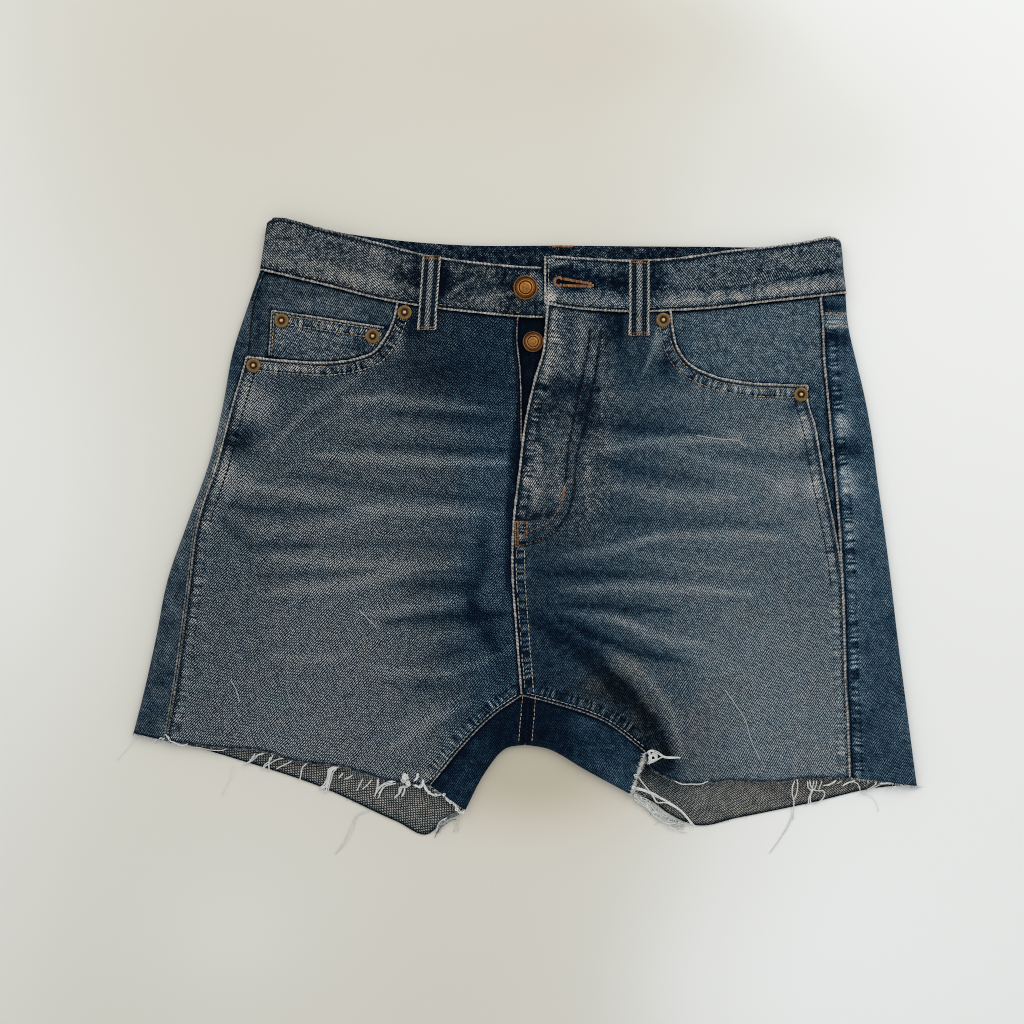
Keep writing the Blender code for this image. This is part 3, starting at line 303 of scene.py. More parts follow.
def rollShares(widths, radius, columns, both=False):
    # columns lie close together where the cloth turns over a fold
    steps = radius * rollSteps
    rows = []
    for width in widths:
        near = steps / width
        if both:
            near = np.append(steps, radius * np.array([1.5, 2.2, 3.2, 4.2])) / width
            middle = np.linspace(near[-1], 1 - near[-1], columns + 1)[1:-1]
            rows.append(np.concatenate([near, middle, (1 - near)[::-1]]))
        elif width > 1.3 * radius:
            rows.append(np.concatenate([near, np.linspace(near[-1], 1, columns + 1)[1:]]))
        else:
            rows.append(np.linspace(0, 1, len(steps) + columns) ** 1.5)
    return np.array(rows)


def insetEdges(plan, edges):
    # makes room along the named edges, so that neighbouring panels don't touch
    plan = plan.copy()
    moves = {
        "top": (np.s_[0], np.s_[1]),
        "bottom": (np.s_[-1], np.s_[-2]),
        "left": (np.s_[:, 0], np.s_[:, 1]),
        "right": (np.s_[:, -1], np.s_[:, -2]),
    }
    for edge in edges.split():
        rim, inside = moves[edge]
        way = plan[inside] - plan[rim]
        length = np.maximum(np.linalg.norm(way, axis=-1, keepdims=True), 1e-6)
        plan[rim] += way / length * np.minimum(cut["seamInset"], length * 0.5)
    return plan


def downTheLeg(side, hipName, legName):
    # a line of the sections, from the waist down to the hem
    hip, leg = hips[side], legs[side]
    columns = [np.concatenate([hip[hipName + axis], leg[legName + axis][1:]]) for axis in "XY"]
    levels = np.concatenate([hip["level"], leg["level"][1:]])
    points = np.stack(columns, axis=-1)
    return lambda at: smooth(levels, points, at)


def seatAt(y):
    share = (seatTop[1] - np.asarray(y, float)) / (seatTop[1] - seatFoot[1])
    return np.stack([seatTop[0] + (seatFoot[0] - seatTop[0]) * share, y], axis=-1)


def flapAt(y):
    return np.stack([smooth(-flapEdge["y"], flapEdge["x"], -np.asarray(y, float)), y], axis=-1)


def rightEdgeAt(y):
    y = np.asarray(y, float)
    own = smooth(-rightEdge["y"], rightEdge["x"], -np.maximum(y, rightEdge["y"][-1]))
    return np.stack([np.minimum(own, flapAt(y)[..., 0] - cut["gap"]), y], axis=-1)


def innerLine(side, above, below, seam):
    # down the seam to the crotch, then down the inside of the leg
    hip, leg = hips[side], legs[side]
    crotch = hip["level"][-1]

    def read(at):
        at = np.asarray(at, float)
        y = smooth(hip["level"], hip[above], np.minimum(at, crotch))
        points = pointsOf(leg, below + "X", below + "Y")
        late = smooth(leg["level"], points, np.maximum(at, crotch))
        return np.where((at <= crotch + tiny)[..., None], seam(y), late)

    return read


sides = ("right", "left")
foldLine = {side: downTheLeg(side, "fold", "fold") for side in sides}
sideSeam = {side: downTheLeg(side, "side", "side") for side in sides}
even = np.linspace(0, 1, 60)
bandEnd = {
    "right": straight((-180.6, 212.8), (-185.8, 180.2)),
    "left": straight((221.2, 199.0), (225.1, 163.8)),
}


def archLine():
    # the fold between the legs, from hem to hem
    down = []
    for side in sides:
        leg = legs[side]
        points = pointsOf(leg, "innerX", "innerY")
        down.append(smooth(leg["level"], points, np.linspace(leg["level"][0], 1, 24)))
    onward = 2 * down[1][-1] - down[1][-2]
    return np.concatenate([down[0][::-1], down[1][1:], [onward]])


# Each line with the side on which the cloth ends: to its left (1) or to its right (-1).
foldLines = [(foldLine["right"](even), -1), (foldLine["left"](even), 1), (archLine(), -1)]
bandLines = [(bandEnd[side](np.linspace(0, 1, 4)), turn) for side, turn in (("right", -1), ("left", 1))]
hemLines = [(lineOf(backHem[side])(even), 1) for side in sides]
waistLines = [(lineOf(waistSeam[side])(even), 1) for side in sides]


def nearest(plan, lines):
    # distance to the lines, the way out across them, and how far along them
    flat = plan.reshape(-1, 1, 2)
    best = np.full(len(flat), np.inf)
    out = np.zeros((len(flat), 2))
    along = np.zeros(len(flat))
    rows = np.arange(len(flat))
    for line, side in lines:
        start, run = line[:-1], np.diff(line, axis=0)
        length = np.sum(run**2, axis=1)
        share = np.clip(np.sum((flat - start) * run, axis=2) / length, 0, 1)
        gap = np.linalg.norm(start + share[..., None] * run - flat, axis=2)
        pick = gap.argmin(axis=1)
        length = np.sqrt(length)
        way = np.stack([-run[:, 1], run[:, 0]], axis=-1) * side / length[:, None]
        passed = np.concatenate([[0], np.cumsum(length)])
        closer = gap[rows, pick] < best
        best = np.where(closer, gap[rows, pick], best)
        out = np.where(closer[:, None], way[pick], out)
        along = np.where(closer, passed[pick] + share[rows, pick] * length[pick], along)
    shape = plan.shape[:-1]
    return best.reshape(shape), out.reshape(plan.shape), along.reshape(shape)


def distanceTo(plan, line):
    return nearest(plan, [(line, 1)])[0]


# Each row is one soft crease or worn streak of the front: it runs between two points,
# bows to one side, and makes the dye lighter (+) on a worn ridge or darker (-) in a trough,
# partly as painted shade. The darkest rows are painted shadow: beside the fly flap, and in the
# deep fold down to the left inseam.
wornAndShadedStreaks = table("x0 y0 x1 y1 bow width light", """
    -119 90 -31 82 1 4 .22, -126 71 -38 64 1 5.5 .1, -143 50 -17 45 -1 3.6 .27, -189 28 -109 12 1 4 .2,
    -112 13 -31 10 0 4 .22, -182 -2 -105 8 -2 3.8 .12, -178 -21 -45 -25 -4 4 .18,
    -171 -45 -88 -32 -3 4 .2, -105 -60 -42 -51 -1 4 .18, -73 -77 -31 -71 -2 3 .1,
    -175 -91 -122 -90 -2 3.2 .13, -105 -98 -52 -102 -2 3 .14, -52 -101 -10 -86 -1 3.2 .14,
    -91 -153 -49 -128 2 4.5 .2, -88 -139 -49 -121 1 4 .1, -175 57 -119 103 4 4 .14,
    -150 66 -96 92 3 3.6 .1, -88 79 -17 75 0 2.8 -.14, -115 57 -17 53 0 2.8 -.14,
    -157 36 -17 19 -2 3 -.12, -206 15 -122 15 -4 4.6 -.15, -185 -13 -154 -13 0 3 -.18,
    -154 -14 -45 -14 2 3.2 -.1, -184 -34 -108 -30 -1 3 -.14, -84 -41 -45 -41 0 5 -.15,
    -91 -66 -21 -62 1 4.6 -.2, -30 -13 -35 -41 2 8 -.18, -35 -58 -24 -79 0 8.5 -.22,
    -59 -90 -49 -87 0 4 -.14, -84 -111 -59 -111 0 5 -.1, -208 1 -192 -13 0 5 -.12, 60 91 108 91 0 8 .14,
    56 54 134 60 3 4 .28, 142 66 153 59 0 4 .18, 101 55 164 36 -1 2.8 .15, 64 29 143 21 -4 5 .2,
    31 -20 88 -8 -2 4 .24, 88 -8 175 -8 2 4 .22, 78 -19 158 -31 -2 2.8 .13, 32 -44 153 -47 3 4 .27,
    36 -60 76 -68 1 4 .22, 68 -66 122 -82 -3 4 .27, 41 -78 90 -112 5 4 .16, 90 -112 108 -153 3 4.5 .16,
    114 -90 150 -102 2 4 .1, 53 71 122 66 0 4 -.18, 60 45 125 33 -2 4.6 -.15, 143 50 190 48 0 4.2 -.14,
    55 5 172 1 0 4.6 -.12, 15 -32 66 -34 0 4 -.18, 69 -32 115 -38 0 3.2 -.12, 32 -55 97 -59 0 4 -.22,
    32 -67 105 -92 -5 4.6 -.28, 22 -76 57 -104 3 9 -.32, 57 -104 78 -125 1 8 -.34,
    78 -125 97 -158 2 7 -.38, 8 98 45 97 0 6 -.3, 8 66 14 58 0 5 -.22, -4 5.5 20 9 0 2 -.5,
    9 50 8 18 0 4.5 .2, 24 48 24 18 0 4.5 .18, 44 40 44 22 0 4 .2, 40 145 37 112 0 4 .18,
    22 150 16 108 0 4.5 .3, 30 30 12 8 0 5 .1, 68 150 60 132 0 5 -.22, -4 78 -11 15 0 3.6 -.5,
    -11 15 -12 -40 0 3 -.26, 92 136 84 110 1 2.2 .34, 101 128 110 106 1 2 .14""")
# Worn or dark patches beside the seams: centre, reach along x and y, tone. The dark ones in the
# deep fold by the left inseam, under its hem's curl and beside the left front belt loop are painted shadow.
patches = table("x y reachX reachY light", """
    -154 75 22 12 -.07, -171 -107 40 26 -.05, -87 -114 26 26 -.04, -24 -36 14 40 .05, 70 -105 15 20 .3,
    80 -131 10 10 .36, 93 -156 9 8 -.48, 105 -135 11 14 .06, 96 -169 8 7 -.5, -196 90 6 13 .54,
    -184 85 8 13 .36, -210 37 7 11 .7, -196 31 7 9 .25, -201 60 10 10 -.46, -190 68 8 6 -.16,
    -216 12 6 7 .18, -150 102 30 8 -.1, -78 140 9 10 -.22, -60 108 34 11 -.16, 182 27 10 9 .34,
    202 28 6 8 .6, 195 69 6 9 .56, 176 62 13 7 .2, 199 51 6 7 -.4, 190 83 10 6 -.34, 198 -3 7 7 .18,
    213 -8 3 4 .3, 212 -27 3 3 .26, 215 -16 4 4 -.34, 150 -70 30 20 .05, 43 82 6 13 -.36, 11 80 5 8 -.26,
    15 92 9 4 .22, 18 57 12 11 .2, 24 53 3 5 -.2, 20 14 6 5 -.24, 12 28 9 9 .12, 44 112 4 12 .2,
    56 100 6 8 .16, 32 128 4 16 -.12, 24 120 3 14 .12, 58 62 9 6 .16, 66 134 3 14 -.26, 75 122 7 12 -.12,
    9 112 3 10 .2, 4 34 4 14 .12, 25 138 10 9 -.12, 20 90 9 13 -.28, 43 86 8 16 -.21, -162 112 24 3.6 .64,
    -115 110 12 3 -.1, -89 130 4.5 9 .44, 95 131 5.5 9 .42, 104 114 8 6 -.1, 152 98 34 3.6 .24,
    76 124 2.5 8 .2, 79 -150 8 16 -.4, 70 -130 9 12 -.3, 60 -116 8 8 -.16, 86 -162 8 8 -.12,
    -46 -132 14 16 -.1, 57 148 6 12 -.3, 98 113 5 10 -.2, 45 -100 12 12 .14, 30 -84 10 8 .1""")
# Patches of the inside of the left leg's back panel: painted shade under the front's curled hem.
insidePatches = table("x y reachX reachY light", """
    104 -190 20 12 -.1, 86 -166 11 9 -.6, 96 -178 14 7 -.2, 74 -160 8 12 -.3""")
# the grey cast of the painted shade in the fold inside the left thigh
thighShade = table("x y reachX reachY undyed", """
    50 -112 16 14 .8, 70 -105 16 20 .5, 82 -132 14 16 1.0, 94 -158 12 12 .9, 120 -140 20 26 .3""")
# Patches of the pocket facings; the dark ones are painted shade under the waistband and along the pocket
# mouths' and side seam's edges.
facingPatches = table("x y reachX reachY light", """
    -187 150 5 24 -.18, -165 163 26 3 -.1, -104 146 8 10 -.16, 108 126 6 10 -.3, 128 109 14 4 -.16,
    -150 156 20 5 .08, -186 128 6 14 -.1""")
# Patches of the back panels where they turn up on top, outside the seams: worn spots, with painted shade near
# the crotch.
stripPatches = table("x y reachX reachY light", """
    217 144 12 4.6 .72, 216 153 9 2.4 -.4, 215 155 8 3 -.22, 218 132 10 5 -.5, 217 90 4 9 -.34,
    -240 -44 5 6 -.14, -248 -70 5 7 -.14, -255 -107 6 7 -.12, -257 -128 6 6 -.12, -241 -23 4 6 .14,
    -246 -57 4 6 .14, -250 -86 4 8 .14, -253 -118 5 6 .12, 222 71 6 8 .66, 226 30 7 10 .72,
    222 42.5 5 1.6 -.45, 225 55 10 6 -.44, 225 16 6 4 -.3, 233 15 6 12 .1, 228 112 7 6 .05,
    236 -26 9 11 -.07, 229 -4 6 8 .22, 229 -18 6 2 -.3, 232 -32 8 10 .16, 231 -56 5 8 .14,
    229 -67 4 4 -.16, 231 -75 5 6 .14, 235 -84 5 4 -.14, 235 -93 5 6 .14, 236 -119 6 9 .14,
    236 -140 6 6 -.14, 232 -150 5 5 .12, 235 -161 6 6 -.12, -14 -146 12 14 -.12, 14 -140 14 14 -.16,
    42 -138 9 8 .2, 31 -153 7 7 -.12, 53 -163 9 8 .08, 66 -173 9 9 .16, -33 -156 7 8 .1, -46 -177 8 8 .12,
    -55 -172 18 16 -.1, -44 -158 4 5 -.2, -52 -170 4 5 -.2, -60 -184 4 5 -.16, 257 -68 6 12 -.16,
    264 -138 6 14 .18, 220 117 8 8 -.07, -205 116 8 24 -.3, -197 130 5 9 -.12, -222 -8 6 12 -.1,
    -213 75 6 12 .1, -226 17 6 8 .14, -246 -68 6 12 .07, -258 -139 8 10 .07, -250 -140 4 12 .14,
    -262 -140 5 10 -.12""")
# How light each part of the cloth is, read smoothly between these spots: its wear, and painted shade near the
# crotch and between the legs.
grounds = {
    "right": table("x y tone", """
        -150 106 .36, -62 142 .12, -32 112 .06, -20 142 .1, -60 96 .2, -110 84 .38, -195 60 .42,
        -100 40 .46, -30 40 .32, -210 -20 .42, -120 -30 .52, -40 -40 .34, -12 -60 .1, -230 -80 .46,
        -150 -100 .57, -80 -105 .57, -28 -100 .2, -235 -140 .5, -170 -145 .6, -100 -155 .56, -62 -150 .5,
        -22 -120 .14"""),
    "left": table("x y tone", """
        24 130 .44, 62 120 .12, 95 138 .26, 60 80 .24, 140 90 .54, 190 80 .62, 20 40 .16, 100 20 .48,
        170 20 .66, 30 0 .2, 12 -40 .08, 60 -40 .42, 120 -45 .58, 190 -40 .56, 16 -90 .02, 60 -80 .36,
        120 -95 .64, 185 -100 .76, 215 -80 .66, 150 -145 .8, 205 -150 .78, 112 -165 .6, 90 -150 .18,
        56 -116 .02"""),
    "strip": table("x y tone", """
        -190 150 .3, -215 60 .5, -228 10 .34, -245 -50 .2, -260 -130 .2, 215 150 .3, 232 60 .3,
        245 -20 .34, 255 -70 .28, 260 -140 .2, 265 -170 .24, -50 -180 .04, -25 -158 -.2, 0 -135 -.34,
        30 -152 -.26, 44 -138 0, 52 -163 .1, 66 -173 .2"""),
    "facing": table("x y tone", """
        -180 165 .24, -140 160 .38, -105 150 .34, 112 145 .38, 150 130 .5, 190 120 .52, 205 80 .24,
        213 30 .16"""),
}
crease = {
    "liftPerTone": 1.7,
    "mostLift": 0.8,
    "mostUnder": 0.6,
    "pastEnd": 2.2,         # how far a streak runs out, in widths
    "groundReach": 30.0,
}


# Shallow creases of the underside, which lies flat on its pockets and loops.
underCreases = table("x0 y0 x1 y1 bow width light", """
    -200 96 -60 70 8 6 .3, -210 -20 -90 -34 6 5 .34, -190 -70 -60 -62 -6 6 .3,
    -230 -110 -120 -118 5 5 .26, -30 20 -8 -90 6 7 .34, 215 90 90 66 -8 6 .3, 230 -20 120 -40 6 5 .34,
    216 -80 96 -70 6 6 .28, 240 -130 130 -140 4 5 .26, 52 20 20 -100 -6 7 .34""")


def streaks(plan, rows, asLift=False):
    total = np.zeros(plan.shape[:-1])
    x, y = plan[..., 0], plan[..., 1]
    for x0, y0, x1, y1, bow, width, light in zip(*rows.values()):
        run = np.array([x1 - x0, y1 - y0])
        length = np.hypot(*run)
        along = ((x - x0) * run[0] + (y - y0) * run[1]) / length
        share = np.clip(along / length, 0, 1)
        off = (-(x - x0) * run[1] + (y - y0) * run[0]) / length - 4 * bow * share * (1 - share)
        past = np.maximum(np.maximum(-along, along - length), 0) / (crease["pastEnd"] * width)
        narrow = width * (0.55 + 1.8 * share * (1 - share))
        amount = light * np.exp(-((off / narrow) ** 2) - past**2)
        total += crease["liftPerTone"] * amount if asLift else amount
    return total


def blots(plan, rows):
    total = np.zeros(plan.shape[:-1])
    for x, y, reachX, reachY, light in zip(*rows.values()):
        away = ((plan[..., 0] - x) / reachX) ** 2 + ((plan[..., 1] - y) / reachY) ** 2
        total += light * np.exp(-away)
    return total


def groundTone(plan, spots):
    top, weight = np.zeros(plan.shape[:-1]), np.full(plan.shape[:-1], tiny)
    for x, y, tone in zip(*spots.values()):
        away = ((plan[..., 0] - x) ** 2 + (plan[..., 1] - y) ** 2) / crease["groundReach"] ** 2
        share = np.exp(-away / 2)
        top += share * tone
        weight += share
    return top / weight


def foldHeight(plan):
    total = np.zeros(plan.shape[:-1])
    for x0, y0, x1, y1, height, spread in zip(*folds.values()):
        total += height * np.exp(-((distanceTo(plan, np.array([(x0, y0), (x1, y1)])) / spread) ** 2))
    return total


def creaseLift(plan):
    return np.clip(streaks(plan, wornAndShadedStreaks, asLift=True), -crease["mostLift"], crease["mostLift"])


rises = {
    "flapAlong": (-20, 130),
    "flapAcross": (70, 25),
    "dipRight": (-45, -10),
    "dipLeft": (65, 45),
    "dipAlong": (70, 140),
    "creasesFrom": 12,
    "underlapAcross": (-30, -5),
    "overlapAcross": (90, 45),
}


def frontExtra(plan, flap=False):
    # how much higher than flat cloth the front lies
    waist = nearest(plan, waistLines)[0]
    rise = cut["waistRise"] * np.exp(-waist / cut["waistRun"])
    x, y = plan[..., 0], plan[..., 1]
    if flap:
        rise = rise + cut["flapRise"] * ramp(y, *rises["flapAlong"]) * ramp(x, *rises["flapAcross"])
    else:
        dip = ramp(x, *rises["dipRight"]) * ramp(x, *rises["dipLeft"]) * ramp(y, *rises["dipAlong"])
        rise = rise - cut["underlapDip"] * dip
    return rise + foldHeight(plan) + creaseLift(plan) * (1 - np.exp(-waist / rises["creasesFrom"]))


def skins(plan, face, thick, radius, lines, extra, underLift):
    # outer and inner skin; face is 1 on top, -1 underneath and 0 on the fold between
    away, out, _ = nearest(plan, lines)
    face = np.broadcast_to(face, away.shape)
    across = np.where(away < radius, (radius - away) / radius, 0.0)
    upright = np.sqrt(1 - across**2) * face
    across = np.sqrt(1 - upright**2)
    rise = np.where(face > 0, extra * ease((away - radius) / cut["easeRun"]), underLift)
    outer = raised(plan, radius + radius * upright + rise)
    normal = raised(out * across[..., None], upright)
    return outer, outer - thick * normal


def backLift(plan):
    away = nearest(plan, foldLines + hemLines)[0]
    lifted = ease((away - cut["liftStart"]) / cut["liftRun"])
    creased = np.clip(streaks(plan, underCreases, asLift=True), 0, crease["mostUnder"])
    return lifted * (cut["backLift"] + creased)


def cloth(plan, face, flap=False, drop=0.0):
    thick, radius = cut["clothThick"], cut["foldRadius"]
    pair = skins(plan, face, thick, radius, foldLines, frontExtra(plan, flap), backLift(plan))
    return [skin + np.array([0, 0, -drop]) for skin in pair]


def onCloth(points, flap=False, drop=0.0, rise=0.0):
    # points of the plan set on the front side, raised by rise
    return cloth(points, 1, flap, drop)[0] + np.array([0, 0, rise])


def fromFold(plan, face):
    faces = np.full(plan.shape[:2], face)
    faces[:, 0] = 0
    return faces


bandCrease = {"x": 141, "y": 166.6, "slope": 0.15, "spread": 4.5, "depth": 0.7, "start": (80, 110)}


def bandExtra(plan, end):
    x, y = plan[..., 0], plan[..., 1]
    if end == "underlap":
        return -cut["underlapDip"] * ramp(x, *rises["underlapAcross"])
    away = (y - bandCrease["y"] - bandCrease["slope"] * (x - bandCrease["x"])) / bandCrease["spread"]
    dip = bandCrease["depth"] * np.exp(-(away**2)) * ramp(x, *bandCrease["start"])
    return cut["overlapRise"] * ramp(x, *rises["overlapAcross"]) - dip


def onBand(points, end):
    return skins(points, 1, cut["bandThick"], cut["bandRadius"], bandLines, bandExtra(points, end), 0.0)[0]


def faceLoops(quads):
    # quads with a doubled corner become triangles, and slivers are dropped
    keep = quads != np.roll(quads, 1, axis=1)
    sizes = keep.sum(axis=1)
    good = sizes >= 3
    return quads[good][keep[good]], sizes[good]


def makePiece(name, points, quads, fields, material, node=None):
    # node is the solid of the cut that this piece stands for
    loops, sizes = faceLoops(quads)
    used, loops = np.unique(loops, return_inverse=True)  # leaves out points that no face uses
    points = points[used]
    mesh = bpy.data.meshes.new(name)
    mesh.vertices.add(len(points))
    mesh.vertices.foreach_set("co", tableToFrame(points).astype(np.float32).ravel())
    mesh.loops.add(len(loops))
    mesh.loops.foreach_set("vertex_index", loops.astype(np.int32).ravel())
    mesh.polygons.add(len(sizes))
    starts = np.concatenate([[0], np.cumsum(sizes)[:-1]]).astype(np.int32)
    mesh.polygons.foreach_set("loop_start", starts)
    mesh.update(calc_edges=True)
    mesh.validate()
    for key, values in fields.items():
        layer = mesh.attributes.new(key, "FLOAT", "POINT")
        layer.data.foreach_set("value", np.asarray(values, np.float32)[used])
    mesh.shade_smooth()
    mesh.materials.append(material)
    piece = bpy.data.objects.new(name, mesh)
    bpy.context.scene.collection.objects.link(piece)
    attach(piece, "root")
    if node:
        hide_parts(node)
    print("  ", name, int((sizes - 2).sum()), "triangles")
    return piece


def gridQuads(ids):
    return np.stack([ids[:-1, :-1], ids[:-1, 1:], ids[1:, 1:], ids[1:, :-1]], axis=-1).reshape(-1, 4)


def shell(name, nets, material):
    # a closed wall of outer and inner skins whose nets share their rims
    outer = np.concatenate([net["outer"].reshape(-1, 3) for net in nets])
    inner = np.concatenate([net["inner"].reshape(-1, 3) for net in nets])
    _, first, index = np.unique(np.round(outer, 3), axis=0, return_index=True, return_inverse=True)
    index = index.reshape(-1)
    quads, start = [], 0
    for net in nets:
        grid = net["outer"]
        count = grid.shape[0] * grid.shape[1]
        quad = gridQuads(index[start : start + count].reshape(grid.shape[:2]))
        start += count
        turn = np.cross(grid[:-1, 1:] - grid[:-1, :-1], grid[1:, :-1] - grid[:-1, :-1])
        facing = np.sum(turn * (grid - net["inner"])[:-1, :-1])
        quads.append(quad if facing > 0 else quad[:, ::-1])
    quads = np.concatenate(quads)
    edges = np.stack([quads, np.roll(quads, -1, axis=1)], axis=-1).reshape(-1, 2)
    edges = edges[edges[:, 0] != edges[:, 1]]
    _, place, uses = np.unique(np.sort(edges, axis=1), axis=0, return_index=True, return_counts=True)
    rim = edges[place[uses == 1]]
    count = len(first)
    rimQuads = np.stack([rim[:, 1], rim[:, 0], rim[:, 0] + count, rim[:, 1] + count], axis=-1)
    faces = np.concatenate([quads, quads[:, ::-1] + count, rimQuads])
    points = np.concatenate([outer[first], inner[first]])
    fields = {}
    for key in nets[0]["fields"]:
        skinsOf = [np.concatenate([net["fields"][key][i].reshape(-1) for net in nets])[first] for i in (0, 1)]
        fields[key] = np.concatenate(skinsOf)
    return makePiece(name + "_cloth", points, faces, fields, material, name)


def newPile():
    return {"points": [], "quads": [], "fields": {}, "count": 0}


def addTo(pile, points, quads, **fields):
    pile["points"].append(points)
    pile["quads"].append(quads + pile["count"])
    for key, value in fields.items():
        value = np.broadcast_to(np.asarray(value, float), (len(points),))
        pile["fields"].setdefault(key, []).append(value)
    pile["count"] += len(points)


pressed = -0.18     # where stitches and threads meet the floor, in mm


def pileToPiece(pile, name, material, node=None):
    points, quads = np.concatenate(pile["points"]), np.concatenate(pile["quads"])
    points[:, 2] = np.maximum(points[:, 2], pressed)
    fields = {key: np.concatenate(values) for key, values in pile["fields"].items()}
    return makePiece(name, points, quads, fields, material, node)


def aroundQuads(ids):
    following = np.roll(ids, -1, axis=1)
    return np.stack([ids[:-1], following[:-1], following[1:], ids[1:]], axis=-1).reshape(-1, 4)


def ringQuads(rings, sides):
    # a closed tube's faces: its sides and both caps; sides is even
    ids = np.arange(rings * sides).reshape(rings, sides)
    caps = []
    for i in range(1, sides - 1, 2):
        caps.append(ids[0, [0, (i + 2) % sides, i + 1, i]])
        caps.append(ids[-1, [0, i, i + 1, (i + 2) % sides]])
    return np.concatenate([aroundQuads(ids), np.array(caps)])


def tubeRings(points, radius, sides, flat=1.0):
    way = unit(np.gradient(points, axis=0))
    aside = np.cross(way, (0.0, 0.0, 1.0))
    size = np.linalg.norm(aside, axis=1, keepdims=True)
    aside = np.where(size > 0.05, aside / np.maximum(size, tiny), (1.0, 0.0, 0.0))
    upward = np.cross(aside, way)
    turns = np.linspace(0, 2 * np.pi, sides, endpoint=False)
    radius = np.broadcast_to(radius, (len(points),))[:, None, None]
    ring = np.cos(turns)[:, None] * aside[:, None] + flat * np.sin(turns)[:, None] * upward[:, None]
    return points[:, None] + radius * ring


def addTube(pile, points, radius, sides, worn):
    rings = tubeRings(points, radius, sides)
    worn = np.repeat(np.broadcast_to(worn, (len(points),)), sides)
    addTo(pile, rings.reshape(-1, 3), ringQuads(len(points), sides), worn=worn)


def addFibres(pile, centers, ways, sizes, sides, worn):
    # many short tubes at once: a row of centres for each, with ways, sizes and wear
    count, rings = centers.shape[:2]
    aside = unit(np.cross(ways, (0.0, 0.0, 1.0)), 1e-6)
    upward = np.cross(aside, ways)
    turns = np.linspace(0, 2 * np.pi, sides, endpoint=False)[:, None]
    ring = np.cos(turns) * aside[:, :, None] + np.sin(turns) * upward[:, :, None]
    points = centers[:, :, None] + sizes * ring
    quads = ringQuads(rings, sides)[None] + (np.arange(count) * rings * sides)[:, None, None]
    addTo(pile, points.reshape(-1, 3), quads.reshape(-1, 4), worn=np.repeat(worn, rings * sides))


def evenly(line, step):
    # a polyline read at even steps, and how far along each point lies
    steps = np.linalg.norm(np.diff(line, axis=0), axis=1)
    passed = np.concatenate([[0], np.cumsum(steps)])
    count = max(int(round(passed[-1] / step)), 2)
    at = np.linspace(0, passed[-1], count + 1)
    return np.stack([np.interp(at, passed, line[:, i]) for i in range(line.shape[1])], -1), at


def leftOf(line):
    way = unit(np.gradient(line, axis=0))
    return np.stack([-way[:, 1], way[:, 0]], axis=-1)


def offsetLine(line, distance):
    # a plan line moved to its left by distance
    return line + leftOf(line) * distance


def srgb(red, green, blue):
    value = np.array([red, green, blue], float) / 255
    linear = np.where(value <= 0.04045, value / 12.92, ((value + 0.055) / 1.055) ** 2.4)
    return (*linear.tolist(), 1.0)


class Number:
    # what a shader node gives out, so that plain arithmetic builds the nodes that follow
    def __init__(self, tree, socket):
        self.tree, self.socket = tree, socket

    def then(self, operation, *others):
        node = addNode(self.tree, "ShaderNodeMath", dict(enumerate((self, *others))), operation=operation)
        return Number(self.tree, node.outputs[0])

    def __add__(self, other):
        return self.then("ADD", other)

    def __sub__(self, other):
        return self.then("SUBTRACT", other)

    def __mul__(self, other):
        return self.then("MULTIPLY", other)

    def __truediv__(self, other):
        return self.then("DIVIDE", other)


def setInputs(tree, node, inputs):
    for key, value in inputs.items():
        value = value.socket if isinstance(value, Number) else value
        if isinstance(value, bpy.types.NodeSocket):
            tree.links.new(value, node.inputs[key])
        else:
            node.inputs[key].default_value = value


def addNode(tree, kind, inputs=None, **settings):
    node = tree.nodes.new(kind)
    for key, value in settings.items():
        setattr(node, key, value)
    setInputs(tree, node, inputs or {})
    return node


def vectorMath(tree, operation, first, second):
    inputs = {0: first, "Scale" if operation == "SCALE" else 1: second}
    return addNode(tree, "ShaderNodeVectorMath", inputs, operation=operation).outputs[0]


def axesOf(tree, vector):
    outputs = addNode(tree, "ShaderNodeSeparateXYZ", {0: vector}).outputs
    return [Number(tree, socket) for socket in outputs]


def placeOf(tree):
    # where a point lies on its piece: in metres, and in millimetres
    place = addNode(tree, "ShaderNodeTexCoord").outputs["Object"]
    return place, vectorMath(tree, "SCALE", place, 1 / mm)


def mapped(tree, value, low, high, toLow=0.0, toHigh=1.0, kind="LINEAR"):
    inputs = {"Value": value, "From Min": low, "From Max": high, "To Min": toLow, "To Max": toHigh}
    node = addNode(tree, "ShaderNodeMapRange", inputs, interpolation_type=kind)
    return Number(tree, node.outputs[0])


def noiseOf(tree, vector, size, detail=2.0, roughness=0.5):
    # noise about zero, roughly from -1 to 1
    inputs = {"Vector": vector, "Scale": 1 / size, "Detail": detail, "Roughness": roughness}
    node = addNode(tree, "ShaderNodeTexNoise", inputs)
    return Number(tree, node.outputs[0]).then("MULTIPLY_ADD", 3.2, -1.6)


def readField(tree, name):
    return Number(tree, addNode(tree, "ShaderNodeAttribute", attribute_name=name).outputs["Fac"])


def waveOf(turns):
    return (turns * (2 * np.pi)).then("SINE")


def bell(value, center, width):
    # 1 at the center, falling softly to 0 over the width
    off = (value - center) / width
    return (off * off * -1.0).then("EXPONENT")


def colorRamp(tree, factor, stops):
    # stops is a list of positions with their colours
    node = addNode(tree, "ShaderNodeValToRGB", {"Fac": factor})
    elements = node.color_ramp.elements
    while len(elements) < len(stops):
        elements.new(0.5)
    for element, (position, color) in zip(elements, stops):
        element.position = position
        element.color = srgb(*color)
    return node.outputs["Color"]


def socketsOf(tree, outputs):
    return {socket.name: Number(tree, socket) for socket in outputs}


